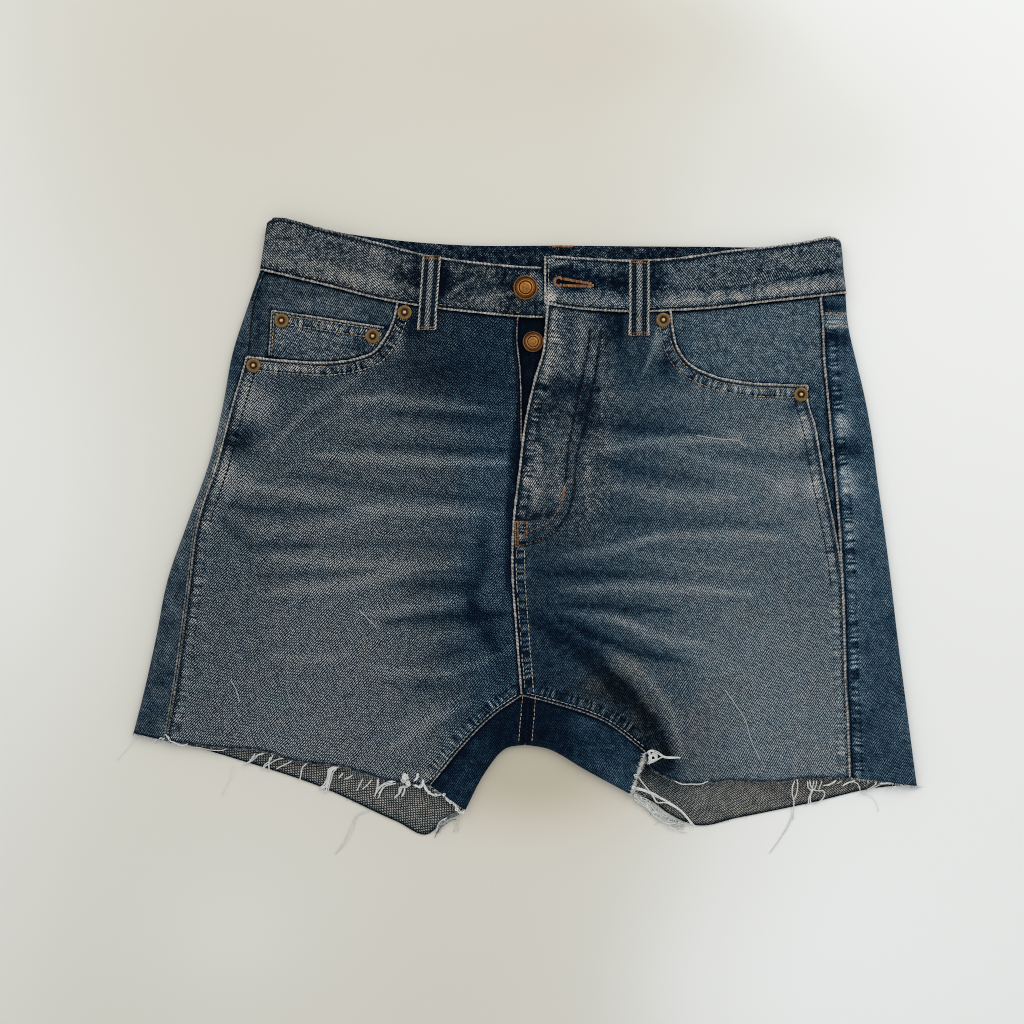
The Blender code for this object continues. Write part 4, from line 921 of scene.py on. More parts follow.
def newGroup(name, inputs, outputs):
    # sockets by name; they carry numbers unless another kind follows a colon
    tree = bpy.data.node_groups.new(name, "ShaderNodeTree")
    for direction, labels in (("INPUT", inputs), ("OUTPUT", outputs)):
        for label in labels.split():
            label, _, kind = label.partition(":")
            kind = "NodeSocket" + (kind or "Float")
            tree.interface.new_socket(name=label, in_out=direction, socket_type=kind)
    given = tree.nodes.new("NodeGroupInput").outputs
    return tree, socketsOf(tree, given), tree.nodes.new("NodeGroupOutput")


def useGroup(tree, group, **inputs):
    return socketsOf(tree, addNode(tree, "ShaderNodeGroup", inputs, node_tree=group).outputs)


# The twill's lines and floats, in mm; beads is how strongly a line breaks up.
twill = {
    "period": 1.3,
    "dash": 2.4,
    "beads": 0.24,
    "wander": 0.5,
    "wanderSize": 7.0,
    "lines": 0.66,
    "grain": 0.42,
    "coarse": 0.14,
    "overFold": (-1.2, 9.6),
    "foldReach": 200,
}


def overFolds(tree, inMm):
    # over a fold or a rim the weave goes on with the height
    outward = vectorMath(tree, "MULTIPLY", inMm, (1 / twill["foldReach"], 1 / twill["foldReach"], 0))
    outward = vectorMath(tree, "MINIMUM", outward, (1, 1, 1))
    outward = vectorMath(tree, "MAXIMUM", outward, (-1, -1, -1))
    passed = axesOf(tree, inMm)[2].then("MULTIPLY_ADD", *twill["overFold"])
    return vectorMath(tree, "ADD", inMm, vectorMath(tree, "SCALE", outward, passed))


def makeTwillGroup():
    tree, given, result = newGroup("twillWeave", "Vector:Vector Angle Beads Loose", "Weave Threads")
    inMm = overFolds(tree, vectorMath(tree, "SCALE", given["Vector"], 1 / mm))
    inputs = {"Vector": inMm, "Scale": 1 / twill["wanderSize"], "Detail": 2.0}
    wander = addNode(tree, "ShaderNodeTexNoise", inputs)
    centred = vectorMath(tree, "SUBTRACT", wander.outputs["Color"], (0.5, 0.5, 0.5))
    spot = vectorMath(tree, "ADD", inMm, vectorMath(tree, "SCALE", centred, 4 * twill["wander"]))
    inputs = {"Vector": spot, "Angle": given["Angle"] * -1.0}
    turned = addNode(tree, "ShaderNodeVectorRotate", inputs, rotation_type="Z_AXIS").outputs[0]
    along, across, _ = axesOf(tree, turned)
    lines = across / twill["period"]
    number = (lines + 0.25).then("FLOOR")
    # each line of the twill breaks up into floats of its own
    chance = ((number * 78.2).then("SINE") * 437.6).then("FRACT")
    start = number.then("MULTIPLY_ADD", 0.5, chance * given["Loose"])
    dashes = waveOf(along / twill["dash"] + start)
    weave = dashes.then("MULTIPLY_ADD", given["Beads"], waveOf(lines) * twill["lines"])
    weave = noiseOf(tree, inMm, 0.62, 1.0).then("MULTIPLY_ADD", twill["grain"], weave)
    weave = noiseOf(tree, inMm, 1.5, 1.0).then("MULTIPLY_ADD", twill["coarse"], weave)
    # thick and thin threads: faint streaks along the warp and the weft
    warp = addNode(tree, "ShaderNodeMapping", {"Vector": inMm, "Scale": (1 / 0.9, 1 / 26, 1.0)}).outputs[0]
    weft = addNode(tree, "ShaderNodeMapping", {"Vector": inMm, "Scale": (1 / 22, 1 / 1.0, 1.0)}).outputs[0]
    threads = noiseOf(tree, warp, 1.0, 1.0) + noiseOf(tree, weft, 1.0, 1.0)
    setInputs(tree, result, {"Weave": weave, "Threads": threads})
    return tree


# Distances from a seam's edge and lengths along it, in mm.
seam = {
    "ridgeShadowAway": 1.5,
    "rowAway": 2.9,
    "secondRow": 8.4,
    "ladderStart": (2.4, 4.4),
    "ladderEnd": (11.5, 7.0),
    "haloAway": 5.5,
    "stitch": 3.1,
    "pucker": 5.6,
    "gapReach": 1.7,
}


def makeSeamGroup():
    tree, given, result = newGroup("seamWearAndShade", "Away Along Ladder Gap", "Tone Height")
    away, along, ladder = given["Away"], given["Along"], given["Ladder"]
    place = addNode(tree, "ShaderNodeCombineXYZ", {0: along, 1: away * 0.3}).outputs[0]
    slow, quick = noiseOf(tree, place, 14, 1.0), noiseOf(tree, place, 2.0, 1.0)
    pucker = waveOf(along / seam["pucker"] + slow * 1.3)
    start, end = (mapped(tree, away, *seam[name], kind="SMOOTHSTEP") for name in ("ladderStart", "ladderEnd"))
    uneven = pucker * slow.then("MULTIPLY_ADD", 0.6, 0.6) + quick * 0.7
    rungs = uneven * (start * end) * ladder
    hole = waveOf(along / seam["stitch"]) * 0.5 + 0.6
    rows = bell(away, seam["rowAway"], 0.8) * hole + bell(away, seam["secondRow"], 0.8) * hole * ladder
    # a painted shadow line just beside the seam's ridge
    nickAndShadow = bell(away, seam["ridgeShadowAway"], 0.6)
    halo = bell(away, seam["haloAway"], 5.0) * (slow * 0.12 + 0.10)
    halo = halo * (ladder * 3.0).then("MINIMUM", 1.0)
    # painted shade beside another panel's edge, a slit or a sunk row
    shade = bell(given["Gap"], 0.0, seam["gapReach"])
    tone = rungs * 0.62 - rows * 0.36 - nickAndShadow * 0.55 + halo - shade * 0.85
    setInputs(tree, result, {"Tone": tone, "Height": rungs * 0.45 - rows * 0.35})
    return tree


# Dye colours from unworn to white, for a blue and a greyer cast of the same cloth.
dyeLow, dyeHigh = -0.3, 1.9
dye = {
    "blue": table("tone red green blue", """
        -.3 0 5 20, 0 4 28 46, .3 32 58 76, .6 61 87 104, 1 99 125 141, 1.5 150 174 188, 1.9 190 210 222"""),
    "grey": table("tone red green blue", """
        -.3 0 3 7, 0 10 22 28, .3 44 55 60, .6 76 85 89, 1 117 123 125, 1.5 170 172 172, 1.9 210 210 207"""),
}


def makeDyeGroup():
    tree, given, result = newGroup("indigoDye", "Tone Grey", "Color:Color")
    share = mapped(tree, given["Tone"], dyeLow, dyeHigh)
    mix = addNode(tree, "ShaderNodeMix", data_type="RGBA", clamp_factor=False)  # past 1 grey turns to warm
    sockets = {0: given["Grey"]}
    for place, cast in ((6, "blue"), (7, "grey")):
        stops = [((tone - dyeLow) / (dyeHigh - dyeLow), color) for tone, *color in zip(*dye[cast].values())]
        sockets[place] = colorRamp(tree, share, stops)
    setInputs(tree, mix, sockets)
    setInputs(tree, result, {"Color": mix.outputs[2]})
    return tree


twillGroup, seamGroup, dyeGroup = makeTwillGroup(), makeSeamGroup(), makeDyeGroup()


def startMaterial(name):
    material = bpy.data.materials.new(name)
    material.use_nodes = True
    tree = material.node_tree
    return material, tree, tree.nodes["Principled BSDF"]


def finishMaterial(tree, shader, color, roughness, specular, height=None, strength=0.5, distance=0.0003,
                   **others):
    inputs = {"Base Color": color, "Roughness": roughness, "Specular IOR Level": specular, **others}
    if height is not None:
        bump = addNode(tree, "ShaderNodeBump", {"Height": height, "Strength": strength, "Distance": distance})
        inputs["Normal"] = bump.outputs["Normal"]
    setInputs(tree, shader, inputs)


dyeing = {
    "fleckSize": 3.2,
    "mottleSize": 7.0,
    "perThread": 0.045,
    "weaveDark": 0.4,       # how much of the weave shows in the darkest dye
    "castSize": 13.0,
    "castSpread": 0.22,
    "castByTone": 0.8,
    "castAt": -0.36,
    "mostCast": 1.5,
    "weaveHeight": 0.07,
}


def makeDenim(name, angle, insideAngle=138.0, contrast=1.0, grey=0.45, lift=0.0, mottling=0.055,
              flecking=0.04, insideBeads=0.3):
    material, tree, shader = startMaterial(name)
    place, inMm = placeOf(tree)
    inside, vivid = readField(tree, "inside"), readField(tree, "vivid")
    turn = inside * np.radians(insideAngle - angle) + np.radians(angle)
    beads = inside.then("MULTIPLY_ADD", insideBeads - twill["beads"], twill["beads"])
    loose = inside * -1.0 + 1.0 if insideBeads > 0.5 else 1.0
    weave = useGroup(tree, twillGroup, Vector=place, Angle=turn, Beads=beads, Loose=loose)
    marks = useGroup(
        tree, seamGroup, Away=readField(tree, "edgeAway"), Along=readField(tree, "edgeAlong"),
        Ladder=readField(tree, "ladder"), Gap=readField(tree, "shadeAway"),
    )
    flecks = noiseOf(tree, inMm, dyeing["fleckSize"], 2.0, 0.65) * vivid
    base = noiseOf(tree, inMm, dyeing["mottleSize"], 3.0, 0.6)
    base = base.then("MULTIPLY_ADD", mottling, readField(tree, "fade"))
    base = flecks.then("MULTIPLY_ADD", flecking, base)
    base = weave["Threads"].then("MULTIPLY_ADD", dyeing["perThread"], base) + marks["Tone"]
    # the weave shows less where the dye is dark
    strength = mapped(tree, base, -0.1, 0.6, dyeing["weaveDark"], 1.0) * contrast * vivid
    tone = base + weave["Weave"] * strength + lift
    cast = noiseOf(tree, inMm, dyeing["castSize"]).then("MULTIPLY_ADD", dyeing["castSpread"], grey)
    cast = base.then("MULTIPLY_ADD", dyeing["castByTone"], cast + dyeing["castAt"])
    # greyer where the cloth is undyed, and in a fold's painted shade
    cast = cast + readField(tree, "undyed")
    cast = addNode(tree, "ShaderNodeClamp", {"Value": cast, "Max": dyeing["mostCast"]}).outputs[0]
    color = useGroup(tree, dyeGroup, Tone=tone, Grey=cast)["Color"]
    height = weave["Weave"] * dyeing["weaveHeight"] + marks["Height"]
    finishMaterial(tree, shader, color, 0.88, 0.06, height, 0.6, 0.0005,
                   **{"Sheen Weight": 0.02, "Sheen Roughness": 0.5})
    return material


roped = {"pitch": 2.5, "whiten": 1.42, "nickAndShadow": 0.5, "slant": 0.45}


def makeRopedEdge(name):
    # the worn white ridge of a felled seam, with fine dark nicks between its puckers
    material, tree, shader = startMaterial(name)
    inMm = placeOf(tree)[1]
    around = readField(tree, "around")
    phase = readField(tree, "edgeAlong") / roped["pitch"] + around * roped["slant"]
    phase = phase + noiseOf(tree, inMm, 6.0, 1.0) * 0.8
    # the nicks are deepest on the side of the stitched cloth
    wave = (waveOf(phase) - 0.3) * (around * -1.0 + 1.25)
    grain = noiseOf(tree, inMm, 0.8, 1.0)
    tone = readField(tree, "fade") + roped["whiten"] + wave * roped["nickAndShadow"]
    tone = tone + grain * 0.22 + noiseOf(tree, inMm, 11.0) * 0.34
    color = useGroup(tree, dyeGroup, Tone=tone, Grey=1.3)["Color"]
    finishMaterial(tree, shader, color, 0.9, 0.2, wave + grain)
    return material


def makeThread(name, dark, light, shine=0.2):
    material, tree, shader = startMaterial(name)
    worn = readField(tree, "worn") + noiseOf(tree, placeOf(tree)[1], 0.7, 1.0) * 0.25
    finishMaterial(tree, shader, colorRamp(tree, worn, [(0, dark), (1, light)]), 0.8, shine)
    return material


def makeMetal(name, dark, mid, bright, rough):
    material, tree, shader = startMaterial(name)
    tarnish = noiseOf(tree, placeOf(tree)[1], 1.4, 4.0, 0.65) * 0.22
    stops = [(0, dark), (0.5, mid), (1, bright)]
    color = colorRamp(tree, readField(tree, "polish") + tarnish, stops)
    finishMaterial(tree, shader, color, tarnish * 0.6 + rough, 0.5, tarnish, 0.4, 0.0002, Metallic=0.75)
    return material


print("shorts: materials")
# The two front legs are one cloth; their grey casts differ as painted light, the right leg greyer than the
# left.
denimRight = makeDenim("denimRightLeg", 48, grey=0.64, contrast=1.9, lift=-0.30, mottling=0.10, flecking=0.15)
denimLeft = makeDenim("denimLeftLeg", 56, grey=0.42, contrast=1.05, lift=-0.07, mottling=0.13, flecking=0.26)
denimBack = {
    "right": makeDenim("denimBackRight", 55, grey=0.12, contrast=1.2, lift=0.03, mottling=0.18,
                       flecking=0.22, insideBeads=0.75),
    "left": makeDenim("denimBackLeft", 55, grey=0.08, contrast=1.1, lift=0.03, mottling=0.18, flecking=0.22),
}
denimFacing = makeDenim("denimFacing", 55, grey=0.5, contrast=1.2, lift=-0.03, mottling=0.12, flecking=0.36)
denimBand = makeDenim("denimBand", 132, insideAngle=48, grey=0.72, contrast=1.5, lift=-0.26, mottling=0.2,
                      flecking=0.6)
denimLoop = makeDenim("denimLoop", 55, grey=0.85, contrast=1.3, mottling=0.12, flecking=0.1)
ropedEdge = makeRopedEdge("ropedEdge")
threadLook = {
    "rust": makeThread("threadRust", (84, 50, 32), (186, 138, 96)),
    "tan": makeThread("threadTan", (88, 70, 54), (206, 182, 152)),
    "cream": makeThread("threadCream", (120, 116, 104), (214, 208, 190)),
    "navy": makeThread("threadNavy", (4, 8, 14), (34, 42, 52), 0.05),
}
threadWhite = makeThread("threadWhite", (170, 176, 176), (232, 233, 228))
threadBlue = makeThread("threadBlue", (6, 20, 38), (150, 166, 178), 0.1)
brass = makeMetal("antiqueBrass", (22, 11, 5), (126, 76, 26), (214, 150, 72), 0.42)
bronze = makeMetal("darkBronze", (16, 9, 6), (118, 90, 48), (216, 176, 128), 0.5)


farAway = 60.0      # stands for no seam near, in mm


def fieldsFor(plan, fade, insideTone, edges=(), gaps=(), undyed=0.0, hem=None, rows=(), insideUndyed=1.15,
              vivid=1.0):
    # the numbers that the cloth's material reads, for the outer and inner skin
    shape = plan.shape[:2]
    zero, one, far = np.zeros(shape), np.ones(shape), np.full(shape, farAway)
    away, along, rungs, shadeAway = far, zero, zero, far
    for line, strength in edges:
        near, _, passed = nearest(plan, [(line, 1)])
        closer = near < away
        away = np.where(closer, near, away)
        along = np.where(closer, passed, along)
        rungs = np.where(closer, strength, rungs)
    # painted shade beside the gap lines, where another panel's edge or a slit lies
    for line in gaps:
        shadeAway = np.minimum(shadeAway, distanceTo(plan, line))
    for line in rows:
        # a sewn row sinks a little, so it gets a fainter painted shade than a gap
        shadeAway = np.minimum(shadeAway, distanceTo(plan, line) + 1.25)
    # and a painted dark line along a raw hem's edge, on both skins
    rim = far if hem is None else distanceTo(plan, hem) + 0.3
    # fade carries the tone tables: wear together with their painted shade
    return {
        "fade": (np.broadcast_to(fade, shape), np.broadcast_to(insideTone, shape)),
        "edgeAway": (away, far),
        "edgeAlong": (along, zero),
        "ladder": (rungs, zero),
        "shadeAway": (np.minimum(shadeAway, rim + 0.4), rim),
        "inside": (zero, one),
        "undyed": (np.broadcast_to(undyed, shape), np.full(shape, insideUndyed)),
        "vivid": (np.broadcast_to(vivid, shape), one),
    }


def netOf(skinsPair, fields):
    return {"outer": skinsPair[0], "inner": skinsPair[1], "fields": fields}


print("shorts: back panels and yokes")
backs = {
    "rows": 190,
    "underColumns": 64,
    "stripColumns": 22,
    "thighColumns": 26,
    "yokeRows": 14,
    "archRun": 320.0,       # length of a leg in mm for one step of level
    "yokeInside": 0.14,
    "stripInside": 0.3,
    "thighInside": 0.2,
    "yokeLadder": 0.3,
    "seatLadder": 0.4,
    "stripLadder": 0.9,
    "insideTone": {"right": 0.42, "left": 0.57},
    "stripGrey": {"right": 0.5, "left": 0.0},
    "thighGrey": {"right": -0.25, "left": -0.9},
}
hemRims = {}


def levelsFor(side, start, rows):
    crotch = hips[side]["level"][-1]
    above = int(rows * (crotch - start))
    return np.unique(np.append(np.linspace(start, crotch, above), np.linspace(crotch, 1, rows - above)))


def stripTone(plan):
    return groundTone(plan, grounds["strip"]) + blots(plan, stripPatches)


underShade = {"tone": 0.42, "light": 0.16, "full": 0.3, "bandLight": 0.12, "bandY": 20, "bandReach": 80}


def underTone(plan):
    soft = underShade["tone"] + underShade["light"] * streaks(plan, underCreases) / underShade["full"]
    across = (plan[..., 1] - underShade["bandY"]) / underShade["bandReach"]
    return soft + underShade["bandLight"] * np.exp(-across ** 2)


def foldShares(near, far, columns, both=False):
    # shares across a panel from its fold, closer together where it turns over
    return rollShares(np.linalg.norm(near - far, axis=-1), cut["foldRadius"], columns, both)


def turnedUp(near, far, columns):
    # the part of a back panel that turns up on top, from the fold to a seam
    return near[:, None] + (far - near)[:, None] * foldShares(near, far, columns)[..., None]


def backPieces(side):
    crotch, yoke = hips[side]["level"][-1], yokeLevel[side]
    fold, sideLine = foldLine[side], sideSeam[side]
    inner = innerLine(side, "seatY", "inner", seatAt)
    waist = lineOf(waistSeam["back"])
    top = partOf(waist, 0 if side == "right" else 1, atX(waist, seatTop[0]))
    yokeSeam = straight(atEnd(fold, yoke), atEnd(inner, yoke))
    grey = backs["stripGrey"][side]
    seatLine = seatAt(np.linspace(seatTop[1], seatFoot[1], 60))
    yokeLine, waistLine, hem = yokeSeam(even), top(even), lineOf(backHem[side])(even)

    def strip(levels, edges, beneath):
        up = insetEdges(turnedUp(fold(levels), sideLine(levels), backs["stripColumns"]), edges)
        up[:, 0] = beneath[:, 0]
        return up

    levels = np.linspace(0, yoke, backs["yokeRows"])
    shares = foldShares(fold(levels), inner(levels), backs["underColumns"], True)
    beneath = patch(top, yokeSeam, partOf(fold, 0, yoke), partOf(inner, 0, yoke), shares, levels / yoke)
    beneath = insetEdges(beneath, "top bottom right")
    up = strip(levels, "top bottom right", beneath)
    yokeUp = sideLine(np.linspace(0, yoke, 20))
    edges = [(yokeLine, backs["yokeLadder"]), (seatLine, backs["yokeLadder"])]
    # painted shade below the waistband's edge
    nets = [
        netOf(cloth(beneath, fromFold(beneath, -1)),
              fieldsFor(beneath, underTone(beneath), backs["yokeInside"], edges, [waistLine])),
        netOf(cloth(up, fromFold(up, 1)),
              fieldsFor(up, stripTone(up), backs["yokeInside"], [(yokeUp, 0.0)], [waistLine], grey)),
    ]
    yokePiece = shell("yoke_" + side, nets, denimBack[side])

    nearArch = crotch - cut["foldRadius"] * rollSteps[1:] / backs["archRun"]
    levels = np.unique(np.append(levelsFor(side, yoke, backs["rows"]), nearArch))
    shares = foldShares(fold(levels), inner(levels), backs["underColumns"], True)
    beneath = panelPlan(yokeSeam, lineOf(backHem[side]), fold, inner, shares, levels, crotch)
    seamRow = int(np.argmax(levels >= crotch - tiny))
    below = levels[seamRow:]
    beneath[:seamRow] = insetEdges(beneath[:seamRow], "right")
    beneath = insetEdges(beneath, "top")
    up = strip(levels, "top right", beneath)
    inseam = innerLine(side, "riseY", "inseam", flapAt)(below)
    thigh = insetEdges(turnedUp(inner(below), inseam, backs["thighColumns"]), "right")
    thigh[0, :, 0] += -cut["seamInset"] if side == "right" else cut["seamInset"]
    beneath[seamRow, -1] = thigh[0, 0]
    thigh[1:, 0] = beneath[seamRow + 1 :, -1]
    beneathFace = fromFold(beneath, -1)
    beneathFace[seamRow:, -1] = 0
    # painted shade on the inside, under the front's curled hem
    insideTone = backs["insideTone"][side] + blots(beneath, insidePatches)
    # painted shadow beside the right side seam on the turned-up strip, and beside the inseam on the thigh
    stripGap = sideLine(np.linspace(0 if side == "left" else cut["mouthLevel"], 1, 100))
    stripEdge = (sideLine(np.linspace(0, 1, 120)), backs["stripLadder"])
    stripEdges = [stripEdge] if side == "left" else []
    stripGaps = [stripGap] if side == "right" else []
    topSeat = seatAt(np.linspace(-117, -153, 20))
    edges = [(yokeLine, backs["yokeLadder"]), (seatLine, backs["seatLadder"])]
    nets = [
        netOf(cloth(beneath, beneathFace),
              fieldsFor(beneath, underTone(beneath), insideTone, edges, hem=hem)),
        netOf(cloth(up, fromFold(up, 1)),
              fieldsFor(up, stripTone(up), backs["stripInside"], stripEdges, stripGaps, grey, hem,
                        [stripGap])),
        netOf(cloth(thigh, fromFold(thigh, 1)),
              fieldsFor(thigh, stripTone(thigh), backs["thighInside"], [(topSeat, 0.0)], [inseam],
                        backs["thighGrey"][side], hem)),
    ]
    piece = shell("back_" + side, nets, denimBack[side])
    for part, net in zip(("back", "strip", "thigh"), nets):
        hemRims[side, part] = net["outer"][-1]
    return piece, yokePiece


backPiece, yokePiece = {}, {}
for side in sides:
    backPiece[side], yokePiece[side] = backPieces(side)


print("shorts: front panels")
# the two sewn rows of the fly, and the inner one's foot
jInner = table("x y", "45.5 138, 43 118, 38 96, 34 76, 30.8 57, 29 40, 27.6 31.5")
jFoot = table("x y", "27.6 31.5, 26.6 20, 22 10, 16.8 3.8, 6 -2, -4.9 -7")
jOuter = table("x y", """
    53.2 138, 50.5 116, 46 92, 41 68, 36.4 51.8, 35 34, 33.6 23.4, 30.8 11.2, 23.8 0, 11.2 -8.8,
    -5.6 -13.3""")
fronts = {
    "rows": 172,
    "mouthColumns": 74,
    "waistColumns": 54,
    "wornAndShadedStreaks": 1.25,
    "darkest": -0.1,
    "fray": 0.35,
    "fraySeed": {"right": 21, "left": 22},
    "mouthRow": {"right": -8.2, "left": 8.2},
}


def frontTone(plan, side):
    # wear together with the painted shade of the tone tables
    tone = groundTone(plan, grounds[side]) + fronts["wornAndShadedStreaks"] * streaks(plan, wornAndShadedStreaks)
    return np.maximum(tone + blots(plan, patches), fronts["darkest"])


def frontEdgeLines(side):
    # where the front's own outer edge runs, below the pocket mouth
    return downTheLeg(side, "front", "side")(np.linspace(cut["mouthLevel"], 1, 140))


riseY = np.linspace(152, -117.6, 120)


def frontPieces(side):
    crotch, start = hips[side]["level"][-1], cut["mouthLevel"]
    flap = side == "left"
    seamAt = flapAt if flap else rightEdgeAt
    rise = innerLine(side, "riseY", "inseam", seamAt)
    waist, mouth, hem = lineOf(waistSeam[side]), lineOf(mouthEdge[side]), lineOf(frontHem[side])
    innerX = flapEdge["x"][0] if flap else rightEdge["x"][0]
    along = partOf(waist, atX(waist, atEnd(mouth)[0]), atX(waist, innerX))
    top = joined(mouth, along, cut["mouthShare"])
    levels = levelsFor(side, start, fronts["rows"])

    def innerEdge(level):
        share = np.clip((level - start) / (crotch - start), 0, 1)
        own = rise(np.where(level > crotch + tiny, level, share * crotch))
        return own + (atEnd(top) - atEnd(rise, 0.0)) * (1 - ease(share * 5))[..., None]

    shares = np.concatenate([
        np.linspace(0, cut["mouthShare"], fronts["mouthColumns"]),
        np.linspace(cut["mouthShare"], 1, fronts["waistColumns"])[1:],
    ])
    plan = panelPlan(top, hem, downTheLeg(side, "front", "side"), innerEdge, shares, levels, crotch)
    plan = insetEdges(plan, "top left right")
    fray = np.random.default_rng(fronts["fraySeed"][side]).normal(0, fronts["fray"], plan.shape[1])
    plan[-1, 1:-1, 1] += fray[1:-1]
    mouthLine, riseLine = mouth(even), seamAt(riseY)
    inseamLine = path(pointsOf(legs[side], "inseamX", "inseamY"))(even)
    edges = [(mouthLine, 1.0), (frontEdgeLines(side), 0.55), (inseamLine, 0.8)]
    # painted shade below the waistband's edge, and along the sewn rows
    gaps, rows = [along(even)], []
    if flap:
        edges.append((riseLine, 0.8))
        onFlap = ramp(plan[..., 0], 72, 52) * ramp(plan[..., 1], -20, 12)
        # the left thigh's fold gets the grey of its painted shade
        undyed, vivid = 0.36 * onFlap + blots(plan, thighShade), 1 + 0.6 * onFlap
        rows = [lineOf(jInner)(even), lineOf(jOuter)(even)]
    else:
        edges.append((riseLine[riseY > 30], 0.15))
        # painted shadow beside the fly flap, on the right leg
        gaps.append(flapAt(riseY[riseY < 40]))
        undyed, vivid = -0.5 * ramp(plan[..., 0], -70, -25), 1.0
    rows.append(offsetLine(mouthLine, fronts["mouthRow"][side]))
    fields = fieldsFor(plan, frontTone(plan, side), 0.5, edges, gaps, undyed, hem(even), rows, vivid=vivid)
    hemRims[side, "front"] = cloth(plan[-1:], 1, flap=flap)[0][0]
    return shell("front_" + side, [netOf(cloth(plan, 1, flap=flap), fields)],
                 denimLeft if flap else denimRight)


frontPiece = {side: frontPieces(side) for side in sides}


print("shorts: facings, coin pocket and button stand")
facingFoot = (-86.0, 108.0)
facingEdge = table("x y", "95 118, 112 96, 142 86, 172 76, 196 40, 211 -8")
coinTop = table("x y", "-177.1 151.4, -98.6 139.5")
coinFoot = table("x y", "-179.2 119.6, -162 117.6, -134.4 116.9, -119.2 119.4, -107.4 124.4, -100.6 132")
coinSide = straight(pointsOf(coinTop)[0], pointsOf(coinFoot)[0])
coinDrop = cut["layer"] - cut["gap"]
coinBlots = table("x y reachX reachY light", """
    -140 143 34 4 .14, -116 127 9 5 -.3, -160 134 16 5 .1, -130 134 12 4 .1, -178 122 8 4 -.2""")
standTop = table("x y", "-14 146.7, 36 146")
standFoot = table("x y", "-14 -12, 22 -12")
beneathFront = cut["clothThick"] + cut["layer"]


def flatPatch(top, foot, left, right, columns, rows):
    return patch(top, foot, left, right, np.linspace(0, 1, columns), np.linspace(0, 1, rows))


def facing(side, top, seamSide, far, rows, gaps, undyed):
    foot = straight(atEnd(seamSide), atEnd(far))
    plan = insetEdges(flatPatch(top, foot, seamSide, far, 60, rows), "top left")
    # painted shade under the pocket mouth's edge and the waistband
    gaps = [lineOf(mouthEdge[side])(even), lineOf(waistSeam[side])(even), *gaps]
    tone = groundTone(plan, grounds["facing"]) + blots(plan, facingPatches)
    net = netOf(cloth(plan, 1, drop=beneathFront), fieldsFor(plan, tone, 0.4, [], gaps, undyed))
    return shell("pocket_facing_" + side, [net], denimFacing)


def facings():
    waist = lineOf(waistSeam["right"])
    top = partOf(waist, 0, atX(waist, -74.0))
    # painted shade around the coin pocket's edges
    coinGaps = [lineOf(coinTop)(even), coinSide(even)]
    far = straight(atEnd(top), facingFoot)
    right = facing("right", top, partOf(sideSeam["right"], 0, 0.24), far, 44, coinGaps, 0.14)
    waist = lineOf(waistSeam["left"])
    top = partOf(waist, atX(waist, hips["left"]["sideX"][0]), atX(waist, 90.0))
    far = path(np.concatenate([[atEnd(top)], pointsOf(facingEdge)]))
    # painted shadow beside the front's edge and the side seam
    seamGaps = [frontEdgeLines("left")[:70], sideSeam["left"](np.linspace(0, 0.5, 60))]
    left = facing("left", top, partOf(sideSeam["left"], 0, 0.50), far, 80, seamGaps, -0.2)
    return {"right": right, "left": left}


def coinPocket():
    top, foot = pointsOf(coinTop), pointsOf(coinFoot)
    topLine = path(top)(even)
    plan = flatPatch(path(top), path(foot), coinSide, straight(top[-1], foot[-1]), 48, 24)
    edges = [(topLine, 0.9), (coinSide(even), 0.25)]
    tone, mouthLine = 0.3 + blots(plan, coinBlots), lineOf(mouthEdge["right"])(even)
    # painted shade under the pocket mouth's edge; the sewn row is shaded as sunk
    fields = fieldsFor(plan, tone, 0.4, edges, [mouthLine], 0.2, None, [offsetLine(topLine, -8.2)], vivid=1.4)
    return shell("coin_pocket", [netOf(cloth(plan, 1, drop=coinDrop), fields)], denimFacing)


def buttonStand():
    top, foot = pointsOf(standTop), pointsOf(standFoot)
    left, right = straight(top[0], foot[0]), straight(top[1], foot[1])
    plan = flatPatch(straight(*top), straight(*foot), left, right, 22, 60)
    # painted shade: darker toward the waistband, and along the edges of the fly above it
    tone = -0.32 - 0.2 * ramp(plan[..., 1], 136, 145)
    fields = fieldsFor(plan, tone, 0.2, [], [flapAt(riseY), rightEdgeAt(riseY)], 0.5)
    return shell("fly_shield", [netOf(cloth(plan, 1, drop=beneathFront), fields)], denimFacing)


facingPiece = facings()
coinPiece = coinPocket()
standPiece = buttonStand()


print("shorts: waistband and loops")
